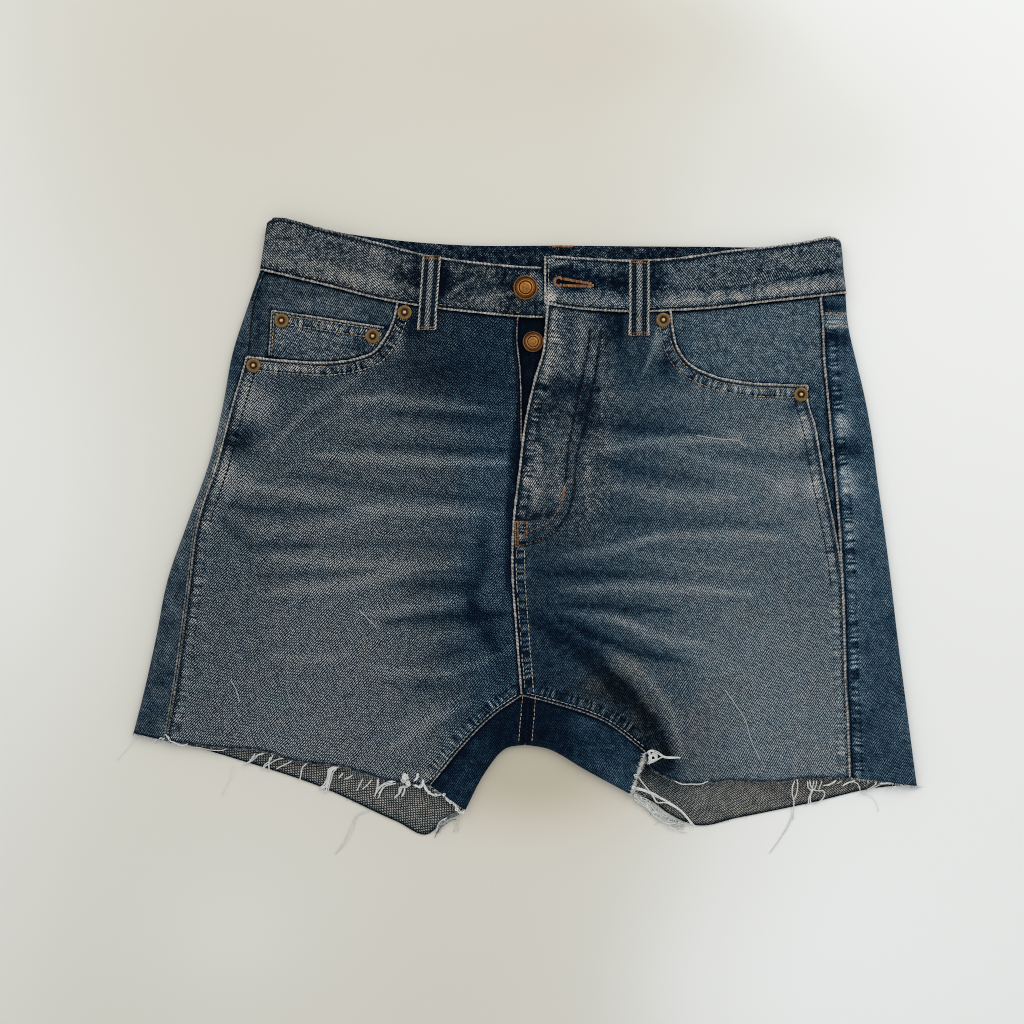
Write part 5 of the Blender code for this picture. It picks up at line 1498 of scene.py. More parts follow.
# Tones of the waistband's front: centre, reach and how light. The dark ones beside the belt loops are painted
# shadow.
bandPatches = table("x y reachX reachY light", """
    22 185 8 3.5 .36, 24 178 10 5 -.3, 40 181 10 5 .14, 50 172 9 7 -.1, 64 168 10 7 -.26, 30 171 9 5 -.22,
    48 158 22 5 .26, 18 162 4 8 .85, 70 175 3 18 -.3, 95 178 5 12 -.26, 120 186 24 6 -.1,
    160 178 40 5 -.12, 209 178 10 2.5 -.3, 112 157 26 4 .14, 190 167 26 4 .14, 92 170 4.5 16 -.4,
    66 172 4.5 16 -.3, -56 171 5 15 -.3, -77 174 4 15 -.25, -5 178 16 4 -.2, -14 162 5 3 .1,
    -40 172 12 10 -.16, -56 170 4 14 -.3, -84 172 6 14 -.26, -104 182 5 12 .2, -128 190 20 6 -.1,
    -150 182 18 6 .14, -172 196 7 12 .1, 34 170 17 6 -.26, 100 186 5 5 .12, 118 159 3 6 .14,
    126 159 2.5 6 -.18, 134 160 3 6 .14, 141 160 2.5 6 -.2, 150 161 3 6 .16, 158 162 3 6 -.14,
    170 163 3 6 .12, -120 173 4 6 .16, -112 170 3 6 -.16, -142 178 4 6 -.14, -162 184 4 7 -.14,
    -90 190 6 6 -.12, -46 178 4 5 .16, -12 170 7 14 -.44, 0 153 14 5 -.45, -46 170 9 13 -.28,
    -26 170 10 13 -.2, -88 176 9 9 -.12, 36 178 16 4.5 -.25, 19 173 3.5 7 -.35, 58 171 8 6 -.35,
    29 165 9 2.2 -.25, 32 181 12 4 -.42, 44 173 14 4 -.2, 17 158 4 6 .95, 10.5 168 3 9 .25,
    -13 170 5 12 -.1, 99 163 9 4 .09, -160 198 16 7 .07, -108 168 16 5 .16, 18 186 5 3 .2,
    196 168 24 6 .1, 150 160 30 5 .06""")
# Streaks of the waistband's front: lighter worn creases, painted shadow beside the belt loops, and painted
# shade along the band's crease.
bandStreaks = table("x0 y0 x1 y1 bow width light", """
    -55 160 -38 172 1 2.4 .36, -35 159 -11 163 -1 2.4 .3, -31 181 -9 179 0 2.6 .16,
    -59 190 -59 156 0 3 -.55, -75 187 -75 160 0 2.6 -.42, -182 186 -131 180 1 4.5 .16,
    -131 176 -76 164 1 4 .24, -150 176 -118 172 0 2.2 .14, -168 200 -130 196 1 4 -.12,
    -120 196 -92 186 1 3.2 .12, 92 166 141 166.6 0 1.8 -.2, 141 166.6 220 180 -1 1.7 -.42,
    88 157 150 161 0 3.2 .26, 150 161 218 171 0 3.4 .3, 94 188 140 190 1 3 -.14, 20 182 34 186 0 2.2 .24,
    88 190 88 156 0 3 -.34""")
band = {
    "rows": 27,
    "columns": {"right": 150, "back": 170, "left": 150},
    "tone": 0.50,
    "leftTone": 0.05,
    "endTop": (14.0, 188.6),
    "endFoot": (14.0, 155.6),
}
bandSide = {"right": "underlap", "left": "overlap"}
buttonholeEye, buttonholeTip = (23.4, 170.6), (47.6, 168.0)


def waistband():
    depth = np.linspace(0, 1, band["rows"])[:, None, None]
    steps = cut["bandRadius"] * rollSteps
    endLine = straight(band["endTop"], band["endFoot"])(even)

    def run(side, close):
        upper, lower = lineOf(bandTop[side]), lineOf(waistSeam[side])
        length = np.linalg.norm(np.diff(upper(even), axis=0), axis=1).sum()
        start, end = (steps / length if name in close else np.zeros(1) for name in ("start", "end"))
        middle = np.linspace(start[-1], 1 - end[-1], band["columns"][side])[1:-1]
        shares = np.concatenate([start, middle, (1 - end)[::-1]])
        return insetEdges(upper(shares) * (1 - depth) + lower(shares) * depth, "bottom")

    right, back, left = run("right", "start"), run("back", "start end"), run("left", "end")
    back[:, 0], back[:, -1] = right[:, 0], left[:, -1]
    nets = []
    parts = (right, "right", 1, [0]), (back, "back", -1, [0, -1]), (left, "left", 1, [-1])
    for plan, side, face, closed in parts:
        faces = np.full(plan.shape[:2], face)
        faces[:, closed] = 0
        extra, tone = 0.0, underTone(plan)
        if face > 0:
            extra = bandExtra(plan, bandSide[side])
            tone = band["tone"] + blots(plan, bandPatches) + streaks(plan, bandStreaks)
            tone += band["leftTone"] * ramp(plan[..., 0], 60, 90)
        pair = skins(plan, faces, cut["bandThick"], cut["bandRadius"], bandLines, extra, backLift(plan))
        edges = [(lineOf(bandTop[side])(even), 0.2), (lineOf(waistSeam[side])(even), 0.2)]
        # painted shade on the underlap beside the overlap's end, and in the buttonhole's slit
        gaps = [endLine] if side == "right" else []
        if side == "left":
            edges.append((endLine, 0.15))
            gaps = [straight(buttonholeEye, buttonholeTip)(even)]
        undyed = np.where(plan[..., 0] > 0, -0.24, 0.08)
        nets.append(netOf(pair, fieldsFor(plan, tone, 0.08, edges, gaps, undyed, insideUndyed=-0.2)))
    return shell("waistband", nets, denimBand)


bandPiece = waistband()

loops = {
    "half": 7.2,
    "rows": 33,
    "stepStart": 1.0,
    "stepEnd": 3.6,
    "crown": 0.45,
    "sink": 0.25,
    "turnedIn": 0.5,
    "rowsAt": (3.0, 4.7),       # its sewn rows, from the middle
    "front": table("x top seam foot lean wide", """
        -66.8 188.2 153.7 137.5 .075 .88, 79.5 185.2 150.4 133.5 0 .96"""),
    "back": table("x top foot", "-118 202 148, 26 196.4 144, 164 195.4 145"),
}


def frontLoops():
    return zip(sides, *loops["front"].values())


def makeLoop(name, plan, aside, outerZ, innerZ, tone):
    stripe = 0.5 * np.exp(-((aside / 2.0) ** 2))
    stripe -= 0.8 * sum(np.exp(-(((aside - row) / 0.5) ** 2)) for row in loops["rowsAt"])
    rim = 1.15 * np.exp(-(((loops["half"] - aside) / 1.3) ** 2))
    fields = fieldsFor(plan, tone + stripe + rim, 0.3, insideUndyed=0.0)
    fields["edgeAlong"] = (np.broadcast_to(plan[..., 1], plan.shape[:2]), fields["ladder"][0])
    net = netOf((raised(plan, outerZ), raised(plan, innerZ)), fields)
    return shell("belt_loop_" + name, [net], denimLoop)


def beltLoops():
    made = []
    width = loops["half"] * np.sin(np.linspace(-np.pi / 2, np.pi / 2, loops["rows"]))
    bulge = np.sqrt(np.maximum(1 - (width / loops["half"]) ** 2, 0))
    for side, x, top, seamY, foot, lean, wide in frontLoops():
        ys = np.linspace(top, foot, 46)[:, None]
        middle = x + lean * (ys - (top + foot) / 2)
        wider = wide * (1 + 0.06 * ramp(ys, foot + 14, foot))
        plan = np.stack(np.broadcast_arrays(middle + width[None] * wider, ys), axis=-1)
        step = ramp(ys, seamY - loops["stepStart"], seamY - loops["stepEnd"])
        high = onBand(plan, bandSide[side])[..., 2].max(axis=1, keepdims=True)
        low = onCloth(plan, side == "left")[..., 2].max(axis=1, keepdims=True)
        below = np.broadcast_to(high + (low - high) * step + cut["gap"], plan.shape[:2])
        crown = loops["crown"] * bulge - loops["sink"]
        ends = loops["turnedIn"] * (np.exp(-((ys - top) / 1.5) ** 2) + np.exp(-((ys - foot) / 1.5) ** 2))
        outerZ = below + cut["loopThick"] + crown + ends - 0.4
        aside = np.abs(plan[..., 0] - middle) / wide
        made.append(makeLoop("front_" + side, plan, aside, outerZ, below, 0.26))
    for side, x, top, foot in zip(("right", "center", "left"), *loops["back"].values()):
        ys = np.linspace(top, foot, 40)[:, None]
        plan = np.stack(np.broadcast_arrays(x + width[None], ys), axis=-1)
        aside = np.abs(plan[..., 0] - x)
        made.append(makeLoop("back_" + side, plan, aside, 0.35 * (1 - bulge), cut["clothThick"], 0.3))
    return made


loopPieces = beltLoops()


print("shorts: back pockets")
pocket = {
    "outline": table("x y", "-155 124, -148 10, -96 -10, -50 -4, -45 98"),
    "middle": 17.5,
    "hemDeep": 15.0,
}


def pocketOutline(side):
    points = pointsOf(pocket["outline"])
    return points if side == "right" else points * (-1, 1) + (2 * pocket["middle"], 0)


def backPocket(side):
    corners = pocketOutline(side)
    foot = joined(straight(corners[1], corners[2]), straight(corners[2], corners[3]), 0.53)
    left, right = straight(corners[0], corners[1]), straight(corners[4], corners[3])
    plan = flatPatch(straight(corners[0], corners[4]), foot, left, right, 56, 66)
    rim = np.concatenate([corners, corners[:1]])
    lines = [(straight(a, b)(even), 0.4) for a, b in zip(rim[:-1], rim[1:])]
    away = nearest(plan, [(line, 1) for line, _ in lines])[0]
    tone = 0.40 + 0.10 * np.exp(-((plan[..., 1] - 50) / 40) ** 2)
    pair = raised(plan, 0.35 * np.exp(-away / 0.8)), raised(plan, cut["clothThick"])
    return shell("back_pocket_" + side, [netOf(pair, fieldsFor(plan, tone, 0.3, lines))],
                 denimBack[side])


pocketPiece = {side: backPocket(side) for side in sides}


print("shorts: buttons and rivets")
buttonShape = {
    "sides": 64,
    "profile": table("radius height polish", """
        0 0 .2, .5 0 .2, .5 .34 .2, .93 .36 .2, .99 .42 .25, 1 .6 .5, .985 .76 .72, .95 .86 .62,
        .92 .87 .5, .885 .8 .02, .8 .78 .02, .77 .81 .26, .66 .82 .3, .63 .9 .8, .585 .91 .8,
        .565 .82 .02, .485 .8 .02, .46 .9 .8, .42 .94 .7, .3 .96 .55, .15 .98 .6, 0 .99 .66"""),
}
rivetShape = {
    "sides": 48,
    "profile": table("radius height polish", """
        0 0 .1, 4.9 0 .1, 5.05 .25 .15, 5.05 .55 .3, 4.85 .85 .5, 4.45 1 .56, 3.6 .95 .46, 2.9 .86 .34,
        2.5 .76 .1, 2.1 .6 0, 1.7 .6 0, 1.45 .9 .2, 1.25 1.35 .7, .9 1.58 .9, .5 1.66 1, 0 1.68 1"""),
}


def turnedPiece(name, node, shape, radius, height, material):
    # rings about the axis of its solid; the ends close on a single point
    low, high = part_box(node)
    middle = ((np.array(low) + np.array(high)) / 2 - tableShift) / mm
    profile, around = shape["profile"], shape["sides"]
    turns = np.linspace(0, 2 * np.pi, around, endpoint=False)
    radii = profile["radius"] * radius
    heights = low[2] / mm + profile["height"] * height
    points = np.stack([
        middle[0] + radii[:, None] * np.cos(turns),
        middle[1] + radii[:, None] * np.sin(turns),
        np.broadcast_to(heights[:, None], (len(radii), around)),
    ], axis=-1).reshape(-1, 3)
    ids = np.arange(len(radii) * around).reshape(len(radii), around)
    ids[0], ids[-1] = ids[0, 0], ids[-1, 0]
    polish = np.repeat(profile["polish"], around)
    return makePiece(name, points, aroundQuads(ids), {"polish": polish}, material, node)


for name in ("main_button", "fly_button"):
    low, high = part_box(name)
    radius, height = (high[0] - low[0]) / 2 / mm, (high[2] - low[2]) / mm
    turnedPiece("cap_" + name, name, buttonShape, radius, height, brass)
for place in ("coin_outer", "coin_inner", "right_top", "right_side", "left_top", "left_side"):
    turnedPiece("burr_" + place, "rivet_" + place, rivetShape, 1.0, 1.0, bronze)


print("shorts: worn seam edges")
ropes = newPile()
ropeLook = {"step": 0.8, "sink": 0.2, "wobble": 0.16, "slow": 0.2, "uneven": 0.13, "flat": 0.75, "sides": 8}
ropeRandom = np.random.default_rng(4)


def rope(line3d, radius, fade=0.0, nickRight=True, sink=ropeLook["sink"]):
    # a ridge along a seam; its height and width waver as the cloth puckers
    around = ropeLook["sides"]
    points, at = evenly(line3d - np.array([0, 0, sink]), ropeLook["step"])
    waver = 1 + ropeLook["wobble"] * np.sin(at * 2.7 + 1.5 * np.sin(at * 0.23))
    slow = ropeLook["slow"] * np.sin(at * 0.61 + 2 * np.sin(at * 0.17))
    waver += ropeRandom.normal(0, ropeLook["uneven"], len(points)) + slow
    size = radius * waver
    size[[0, -1]] *= 0.5
    rings = tubeRings(points, size, around, flat=ropeLook["flat"])
    turn = np.tile(np.arange(around) / around, len(points))
    turn = np.minimum(turn, 1 - turn) * 2
    fade = np.atleast_1d(fade)
    fades = np.interp(np.linspace(0, 1, len(points)), np.linspace(0, 1, len(fade)), fade)
    addTo(ropes, rings.reshape(-1, 3), ringQuads(len(points), around), edgeAlong=np.repeat(at, around),
          around=turn if nickRight else 1 - turn, fade=np.repeat(fades, around))


def pointsAlong(line, count, start=0.0, end=1.0):
    return line(np.linspace(start, end, count))


def allRopes():
    for side in sides:
        flap = side == "left"
        faded = (0.05, 0.0, -0.3, -0.7, -0.9) if flap else (0.0, 0.0, -0.3, -0.6, -0.6)
        inseam = path(pointsOf(legs[side], "inseamX", "inseamY"))
        rope(onCloth(pointsAlong(lineOf(mouthEdge[side]), 90), flap), 0.78, nickRight=not flap)
        rope(onCloth(frontEdgeLines(side), flap), 0.66, faded, flap)
        rope(onCloth(pointsAlong(inseam, 50), flap), 0.5, -0.4 if flap else -0.25, not flap)
    rope(onCloth(pointsAlong(flapAt, 160, 156, -117), True), 0.8, nickRight=False)
    rope(onCloth(pointsAlong(rightEdgeAt, 60, 147, 60) - (0.6, 0)), 0.5, -0.4)
    # the side seam of the left leg above where the front panel reaches it
    rope(onCloth(pointsAlong(sideSeam["left"], 140) - (0.6, 0)), 0.8, -0.1, sink=0.1)
    rope(onCloth(pointsAlong(sideSeam["right"], 120, 0.30) - (1.6, 0)), 0.55, -0.45, sink=0.1)
    rope(onCloth(pointsAlong(lineOf(coinTop), 50), drop=coinDrop), 0.62, -0.1)
    rope(onCloth(pointsAlong(coinSide, 24), drop=coinDrop), 0.5, -0.3)
    for side in sides:
        upper = pointsAlong(lineOf(bandTop[side]), 160, 0.02, 0.995)
        lower = pointsAlong(lineOf(waistSeam[side]), 160)
        if side == "right":
            upper, lower = upper[upper[:, 0] < 13], lower[lower[:, 0] < 13]
        faded = (-1.0, -0.8, -0.1, 0, 0, 0) if side == "right" else 0.0
        rope(onBand(upper, bandSide[side]), 0.75, faded, sink=0.4)
        rope(onBand(lower, bandSide[side]), 0.68, -0.05, False, 0.25)
    end = pointsAlong(straight((14.0, 188.4), (14.0, 155.8)), 30)
    rope(onBand(end, "overlap"), 0.8, 0.1, False, 0.35)
    rope(onBand(end + (2.0, 0), "overlap"), 0.42, -0.1, sink=0.35)


allRopes()
pileToPiece(ropes, "worn_seam_edges", ropedEdge)


print("shorts: stitches")
stitchLook = {"pitch": 3.0, "length": 2.35, "radius": 0.36, "sides": 6, "rise": 0.12, "shake": 0.08}
stitchForm = table("share size drop", "0 .45 -.28, .18 .9 0, .5 1 .1, .82 .9 0, 1 .45 -.28")
stitchPiles = {color: newPile() for color in threadLook}
stitchRandom = np.random.default_rng(9)


def addStitches(color, starts, ends, radius, under=False):
    # each stitch is a short capsule between two points, sagging into the cloth at its ends
    shares, sizes, drop = stitchForm.values()
    way = unit(ends - starts)[:, None]
    upward = np.cross(unit(np.cross(way, (0.0, 0.0, 1.0))), way)
    drop = -drop if under else drop
    center = starts[:, None] + (ends - starts)[:, None] * shares[:, None] + upward * drop[:, None]
    worn = stitchRandom.uniform(0.15, 0.95, len(starts))
    addFibres(stitchPiles[color], center, way, (radius * sizes)[:, None, None], stitchLook["sides"], worn)


def lifted(points, rise):
    return points + np.array([0, 0, rise])


def stitchRow(color, line, seat, radius=stitchLook["radius"], pitch=stitchLook["pitch"], skip=0.0,
              rise=stitchLook["rise"], under=False):
    # a row of stitches along a plan line, set on the cloth by seat
    plan, _ = evenly(line, pitch)
    way = np.diff(plan, axis=0)
    share = stitchLook["length"] / stitchLook["pitch"]
    starts = plan[:-1] + way * (1 - share) / 2
    ends = plan[1:] - way * (1 - share) / 2
    shake = stitchRandom.normal(0, stitchLook["shake"], starts.shape)
    starts, ends = lifted(seat(starts + shake), rise), lifted(seat(ends + shake), rise)
    kept = stitchRandom.uniform(0, 1, len(starts)) >= skip
    addStitches(color, starts[kept], ends[kept], radius, under)


def barTack(start, end, width, seat, radius=0.3, rise=0.35, under=False):
    # close satin stitches across a line
    start, end = np.array(start, float), np.array(end, float)
    plan, _ = evenly(np.stack([start, end]), 0.62)
    way = (end - start) / np.linalg.norm(end - start)
    aside = np.array([-way[1], way[0]]) * width / 2
    shake = stitchRandom.normal(0, 0.1, plan.shape)
    one, two = (lifted(seat(plan + turn * aside + shake), rise) for turn in (-1, 1))
    addStitches("rust", one, two, radius, under)


def seatOn(flap=False, drop=0.0):
    return lambda points: onCloth(points, flap, drop)


def seatBand(end):
    return lambda points: onBand(points, end)


def seatFlat(height):
    return lambda points: raised(points, height)


def seatLoop(side, seamY):
    # on a belt loop, which steps down from the band to the panel below its seam
    def seat(points):
        step = ramp(points[..., 1], seamY - loops["stepStart"], seamY - loops["stepEnd"])[..., None]
        ground = onBand(points, bandSide[side]) * (1 - step) + onCloth(points, side == "left") * step
        return lifted(ground, cut["gap"] + cut["loopThick"])

    return seat


def level(start, end, height):
    return np.array([(start, height), (end, height)])


def sewPockets():
    for side, away in (("right", -1), ("left", 1)):
        seat, mouth = seatOn(side == "left"), pointsAlong(lineOf(mouthEdge[side]), 120, 0.02, 0.98)
        stitchRow("navy", offsetLine(mouth, away * 1.6), seat, 0.44, 2.4)
        stitchRow("tan", offsetLine(mouth, away * 2.7), seat, 0.28, skip=0.25)
        stitchRow("cream" if side == "right" else "tan", offsetLine(mouth, away * 8.6), seat, 0.32)
    coin = pointsAlong(lineOf(coinTop), 60, 0.03, 0.97)
    for line, distance in ((coin, -2.0), (coin, -8.2), (pointsAlong(coinSide, 24), 1.8)):
        stitchRow("tan", offsetLine(line, distance), seatOn(drop=coinDrop))


def sewBand():
    for side in sides:
        upper = pointsAlong(lineOf(bandTop[side]), 200, 0.03, 0.985)
        lower = pointsAlong(lineOf(waistSeam[side]), 200, 0.01, 0.99)
        if side == "right":
            upper, lower = upper[upper[:, 0] < 12], lower[lower[:, 0] < 12]
        seat = seatBand(bandSide[side])
        stitchRow("navy", offsetLine(upper, -1.7), seat, 0.44, 2.3)
        stitchRow("navy", offsetLine(lower, 1.8), seat, 0.42, 2.5)
        stitchRow("tan", offsetLine(lower, 2.5), seat, 0.28, skip=0.7)
    stitchRow("cream", pointsAlong(straight((16.4, 186.0), (16.4, 158.0)), 30), seatBand("overlap"), 0.3)


def sewFly():
    seat = seatOn(True)
    stitchRow("navy", lineOf(jInner)(even), seat, 0.46, 2.3)
    stitchRow("navy", lineOf(jOuter)(even), seat, 0.46, 2.3)
    stitchRow("rust", lineOf(jFoot)(even)[12:], seat, 0.34)
    stitchRow("rust", lineOf(jOuter)(even)[48:], seat, 0.34)
    barTack((27.6, 27.3), (26.2, 18.4), 1.7, seat)
    for start, finish in (((-7.0, 3.8), (-6.5, -14.0)), ((-7.0, 3.8), (1.4, 3.4)),
                          ((1.4, 3.4), (0.9, -6.6)), ((-5.2, 3.8), (-4.9, -14.0))):
        barTack(start, finish, 1.2, seat, radius=0.26)
    # rise seam: a row by its ridge and another across the fell
    riseLine = pointsAlong(flapAt, 80, -16, -116)
    stitchRow("cream", riseLine + (2.6, 0), seat, 0.28, skip=0.2)
    stitchRow("cream", riseLine + (8.6, 0), seat, 0.32)
    stitchRow("navy", pointsAlong(flapAt, 100, 150, 8) + (1.7, 0), seat, 0.44, 2.4)
    stitchRow("navy", pointsAlong(rightEdgeAt, 60, 146, 70) - (2.6, 0), seatOn(), 0.32)


def sewLegs():
    # side seams, inseams, the seat seam under the crotch and the yoke seam that turns up
    for side, away, count, radius in (("right", 1, 60, 0.46), ("left", -1, 70, 0.36)):
        seat, edge = seatOn(side == "left"), frontEdgeLines(side)
        stitchRow("navy", offsetLine(edge, away * 2.6), seat, 0.34, skip=0.25)
        stitchRow("navy", offsetLine(edge[:count], away * 8.4), seat, radius)
        inseam = pointsAlong(path(pointsOf(legs[side], "inseamX", "inseamY")), 50, 0.03, 0.97)
        stitchRow("cream", offsetLine(inseam, -away * 2.2), seat, 0.28)
    seatSeam = pointsAlong(seatAt, 24, -118, -150)
    stitchRow("tan", seatSeam - (4.6, 0), seatOn(), 0.3)
    stitchRow("tan", seatSeam + (4.6, 0), seatOn(), 0.3)
    for height in (148.6, 140.0):
        stitchRow("tan", level(209.5, 226.0, height), seatOn(), 0.42, 2.2)
        stitchRow("cream", level(209.5, 226.0, height + 1.1), seatOn(), 0.3)


def sewLoops():
    # two columns each and their bar tacks
    for side, x, top, seamY, foot, lean, wide in frontLoops():
        topX, footX, seat = x + lean * 25, x - lean * 25, seatLoop(side, seamY)
        inner, outer = loops["rowsAt"]
        for offset in (-outer, -inner, inner, outer):
            column = np.array([(topX + offset * wide, top - 3.0), (footX + offset * wide, foot + 3.0)])
            stitchRow("navy", column, seat, 0.26, 2.7)
        for center, height in ((topX, top - 0.6), (footX, foot + 0.9)):
            for offset in (-0.8, 0.8):
                ends = level(center - 6.8 * wide, center + 6.8 * wide, height + offset)
                stitchRow("rust", ends, seat, 0.42, 1.9, rise=0.3)
    barTack((18.9, 196.2), (33.0, 196.2), 1.6, seatFlat(7.0))


def toward(line, target):
    # unit steps across a line, toward a point
    aside = leftOf(line)
    return aside * np.sign(((target - line) * aside).sum(axis=1, keepdims=True))


def hiddenRow(color, line, seat=None, radius=0.32):
    # a row on the underside: on the cloth, or on a pocket or loop that lies flat
    under = seat or (lambda points: raised(points, backLift(points)))
    stitchRow(color, line, under, radius, 3.4, rise=0.2 if seat else 0.0, under=True)


def sewUnderneath():
    flat = seatFlat(0.0)
    for side, turn in (("right", 1), ("left", -1)):
        inner, yoke = innerLine(side, "seatY", "inner", seatAt), yokeLevel[side]
        line = pointsAlong(straight(atEnd(foldLine[side], yoke), atEnd(inner, yoke)), 60, 0.04, 0.98)
        for distance in (-1.8, -8.0):
            hiddenRow("tan", offsetLine(line, distance * turn))
        corners = pocketOutline(side)
        for start, end in zip(corners[:-1], corners[1:]):
            edge = np.linspace(start, end, 40)
            for inset in (1.8, 7.6):
                hiddenRow("tan", (edge + inset * toward(edge, corners.mean(axis=0)))[2:-2], flat)
        hiddenRow("tan", np.linspace(corners[0], corners[4], 40)[2:-2] - (0, pocket["hemDeep"]), flat)
    for distance in (2.0, 8.2):
        hiddenRow("tan", offsetLine(pointsAlong(seatAt, 120, 150, -112), distance))
    upper, lower = (pointsAlong(lineOf(edge["back"]), 160, 0.03, 0.97) for edge in (bandTop, waistSeam))
    middle = ((upper + lower) / 2).mean(axis=0)
    for line in (upper, lower):
        hiddenRow("navy", line + 2.0 * toward(line, middle * (0, 1) + line * (1, 0)), radius=0.36)
    for x, top, foot in zip(*loops["back"].values()):
        for offset in (-3.4, 3.4):
            hiddenRow("navy", np.array([(x + offset, top - 3), (x + offset, foot + 3)]), flat)
        for height in (top - 1.4, foot + 1.4):
            barTack((x - 6.2, height), (x + 6.2, height), 1.6, flat, 0.26, 0.16, True)


def buttonhole():
    # a keyhole: a round eye toward the edge, and two legs of thread that meet in a bar
    eye, tip = np.array(buttonholeEye), np.array(buttonholeTip)
    run = tip - eye
    length = np.hypot(*run)
    way = run / length
    aside = np.array([-way[1], way[0]])
    turns = np.linspace(np.radians(35), np.radians(325), 26)
    ring = eye + np.stack([np.cos(turns), np.sin(turns)], -1) @ np.stack([way, aside]) * 2.3
    shares = np.linspace(0.14, 0.93, 30)[:, None]
    opening = (1.5 * (1 - shares) + 0.25) * aside
    seat = seatBand("overlap")
    for line in ((eye + shares * run + opening)[::-1], eye + shares * run - opening, ring):
        center = eye + np.clip((line - eye) @ way, 0, length)[:, None] * way
        outward = unit(line - center, 1e-6)
        shake = stitchRandom.normal(0, 0.09, line.shape)
        one, two = seat(line - outward * 0.1), seat(line + outward * 1.7 + shake)
        addStitches("rust", lifted(one, 0.45), lifted(two, 0.25), 0.34)
        rim = lifted(seat(evenly(line, 1.2)[0]), 0.55)
        addStitches("rust", rim[:-1], rim[1:], 0.32)
    barTack(tip - way * 3.4, tip, 2.0, seat, radius=0.36)


for sew in (sewPockets, sewBand, sewFly, sewLegs, sewLoops, sewUnderneath, buttonhole):
    sew()
for color, material in threadLook.items():
    pileToPiece(stitchPiles[color], "stitches_" + color, material)


print("shorts: raw hems")
hems = [(face, side) for face in ("front", "back") for side in sides]
threadPiles = {hem: {"white": newPile(), "blue": newPile()} for hem in hems}
hairRandom = np.random.default_rng(31)
hair = {"radius": 0.15, "sides": 4, "form": table("share size", "0 1, .4 .9, .75 .7, 1 .3"), "bend": 0.4}


def addHairs(pile, bases, ways, lengths, radius):
    # short loose fibres, each with a bend of its own
    count, (shares, taper) = len(bases), hair["form"].values()
    bend = hairRandom.normal(0, hair["bend"], (count, 3)) * lengths[:, None]
    bend[:, 2] = -0.15 * lengths
    points = bases[:, None] + (ways * lengths[:, None])[:, None] * shares[:, None]
    points = points + bend[:, None] * (shares**2)[:, None]
    points[..., 2] = np.maximum(points[..., 2], 0.25)
    way = unit(np.gradient(points, axis=1))
    sizes = radius * taper[None, :, None, None] * hairRandom.uniform(0.7, 1.4, (count, 1, 1, 1))
    addFibres(pile, points, way, sizes, hair["sides"], hairRandom.uniform(0.2, 1.0, count))


def hemHairs(key, line3d, side, perMm, shortest, longest, color="white", spread=0.5, radius=hair["radius"]):
    # fibres along a raw edge, pointing away from the cloth
    points, at = evenly(line3d, 0.25)
    count = int(at[-1] * perMm)
    place = hairRandom.uniform(0, len(points) - 1.01, count)
    low = place.astype(int)
    step = points[low + 1] - points[low]
    bases = points[low] + step * (place - low)[:, None]
    run = unit(step[:, :2])
    ways = np.stack([-run[:, 1] * side, run[:, 0] * side, np.zeros(count)], axis=-1)
    ways[:, :2] += hairRandom.normal(0, spread, (count, 2))
    ways = unit(ways)
    bases[:, 2] += hairRandom.uniform(-0.5, 0.5, count)
    lengths = shortest + (longest - shortest) * hairRandom.beta(1.1, 2.6, count)
    addHairs(threadPiles[key][color], bases, ways, lengths, radius)


def strand(key, knots, startZ, endZ, radius=0.42, copies=1, spread=1.2, worn=0.8, color="white"):
    # a loose thread through points of the plan, dropping from one height to another
    for copy in range(int(copies)):
        shake = hairRandom.normal(0, spread * 0.3, knots.shape) if copy else 0.0
        shift = hairRandom.normal(0, spread * 0.6, 2) if copy else 0.0
        plan = knots + shake + shift
        length = np.linalg.norm(np.diff(plan, axis=0), axis=1).sum()
        shares = np.linspace(0, 1, max(int(length / 0.9), 5))
        heights = startZ + (endZ - startZ) * ease(shares) + 0.3 * np.sin(shares * 9 + copy)
        points = raised(path(plan)(shares), np.maximum(heights, 0.4))
        sizes = radius * (1 + 0.12 * np.sin(shares * length * 1.9))
        sizes[[0, -1]] *= 0.4
        addTube(threadPiles[key][color], points, sizes, 5, worn + hairRandom.uniform(-0.15, 0.15))


def strands(side, text):
    # rows of face, first and last height, radius, copies and spread, then the points
    for row in text.split(";"):
        look, _, knots = row.partition(":")
        face, *look = look.split()
        strand((face, side), pointsFrom(knots), *map(float, look))


def snarls(side, spots, z, reach, count, radius):
    # small loops of thread about each spot
    for x, y in pointsFrom(spots):
        for _ in range(count):
            turns = np.cumsum(hairRandom.uniform(0.7, 1.6, 6)) + hairRandom.uniform(0, 6)
            away = reach * hairRandom.uniform(0.3, 1.0, 6)
            plan = np.stack([x + away * np.cos(turns), y + away * np.sin(turns)], axis=-1)
            knots = raised(plan, z + hairRandom.uniform(-0.5, 0.9, 6))
            points = path(knots)(np.linspace(0, 1, 14))
            addTube(threadPiles["front", side]["white"], points, radius, 5, hairRandom.uniform(0.6, 1.0))


def inCloth(side, part, share=0.5):
    # a hem's outer rim, moved down into the cloth by a share of its thickness
    return hemRims[side, part] - np.array([0, 0, cut["clothThick"] * share])


def sloping(text, startZ, endZ):
    knots = pointsFrom(text)
    return raised(knots, np.linspace(startZ, endZ, len(knots)))


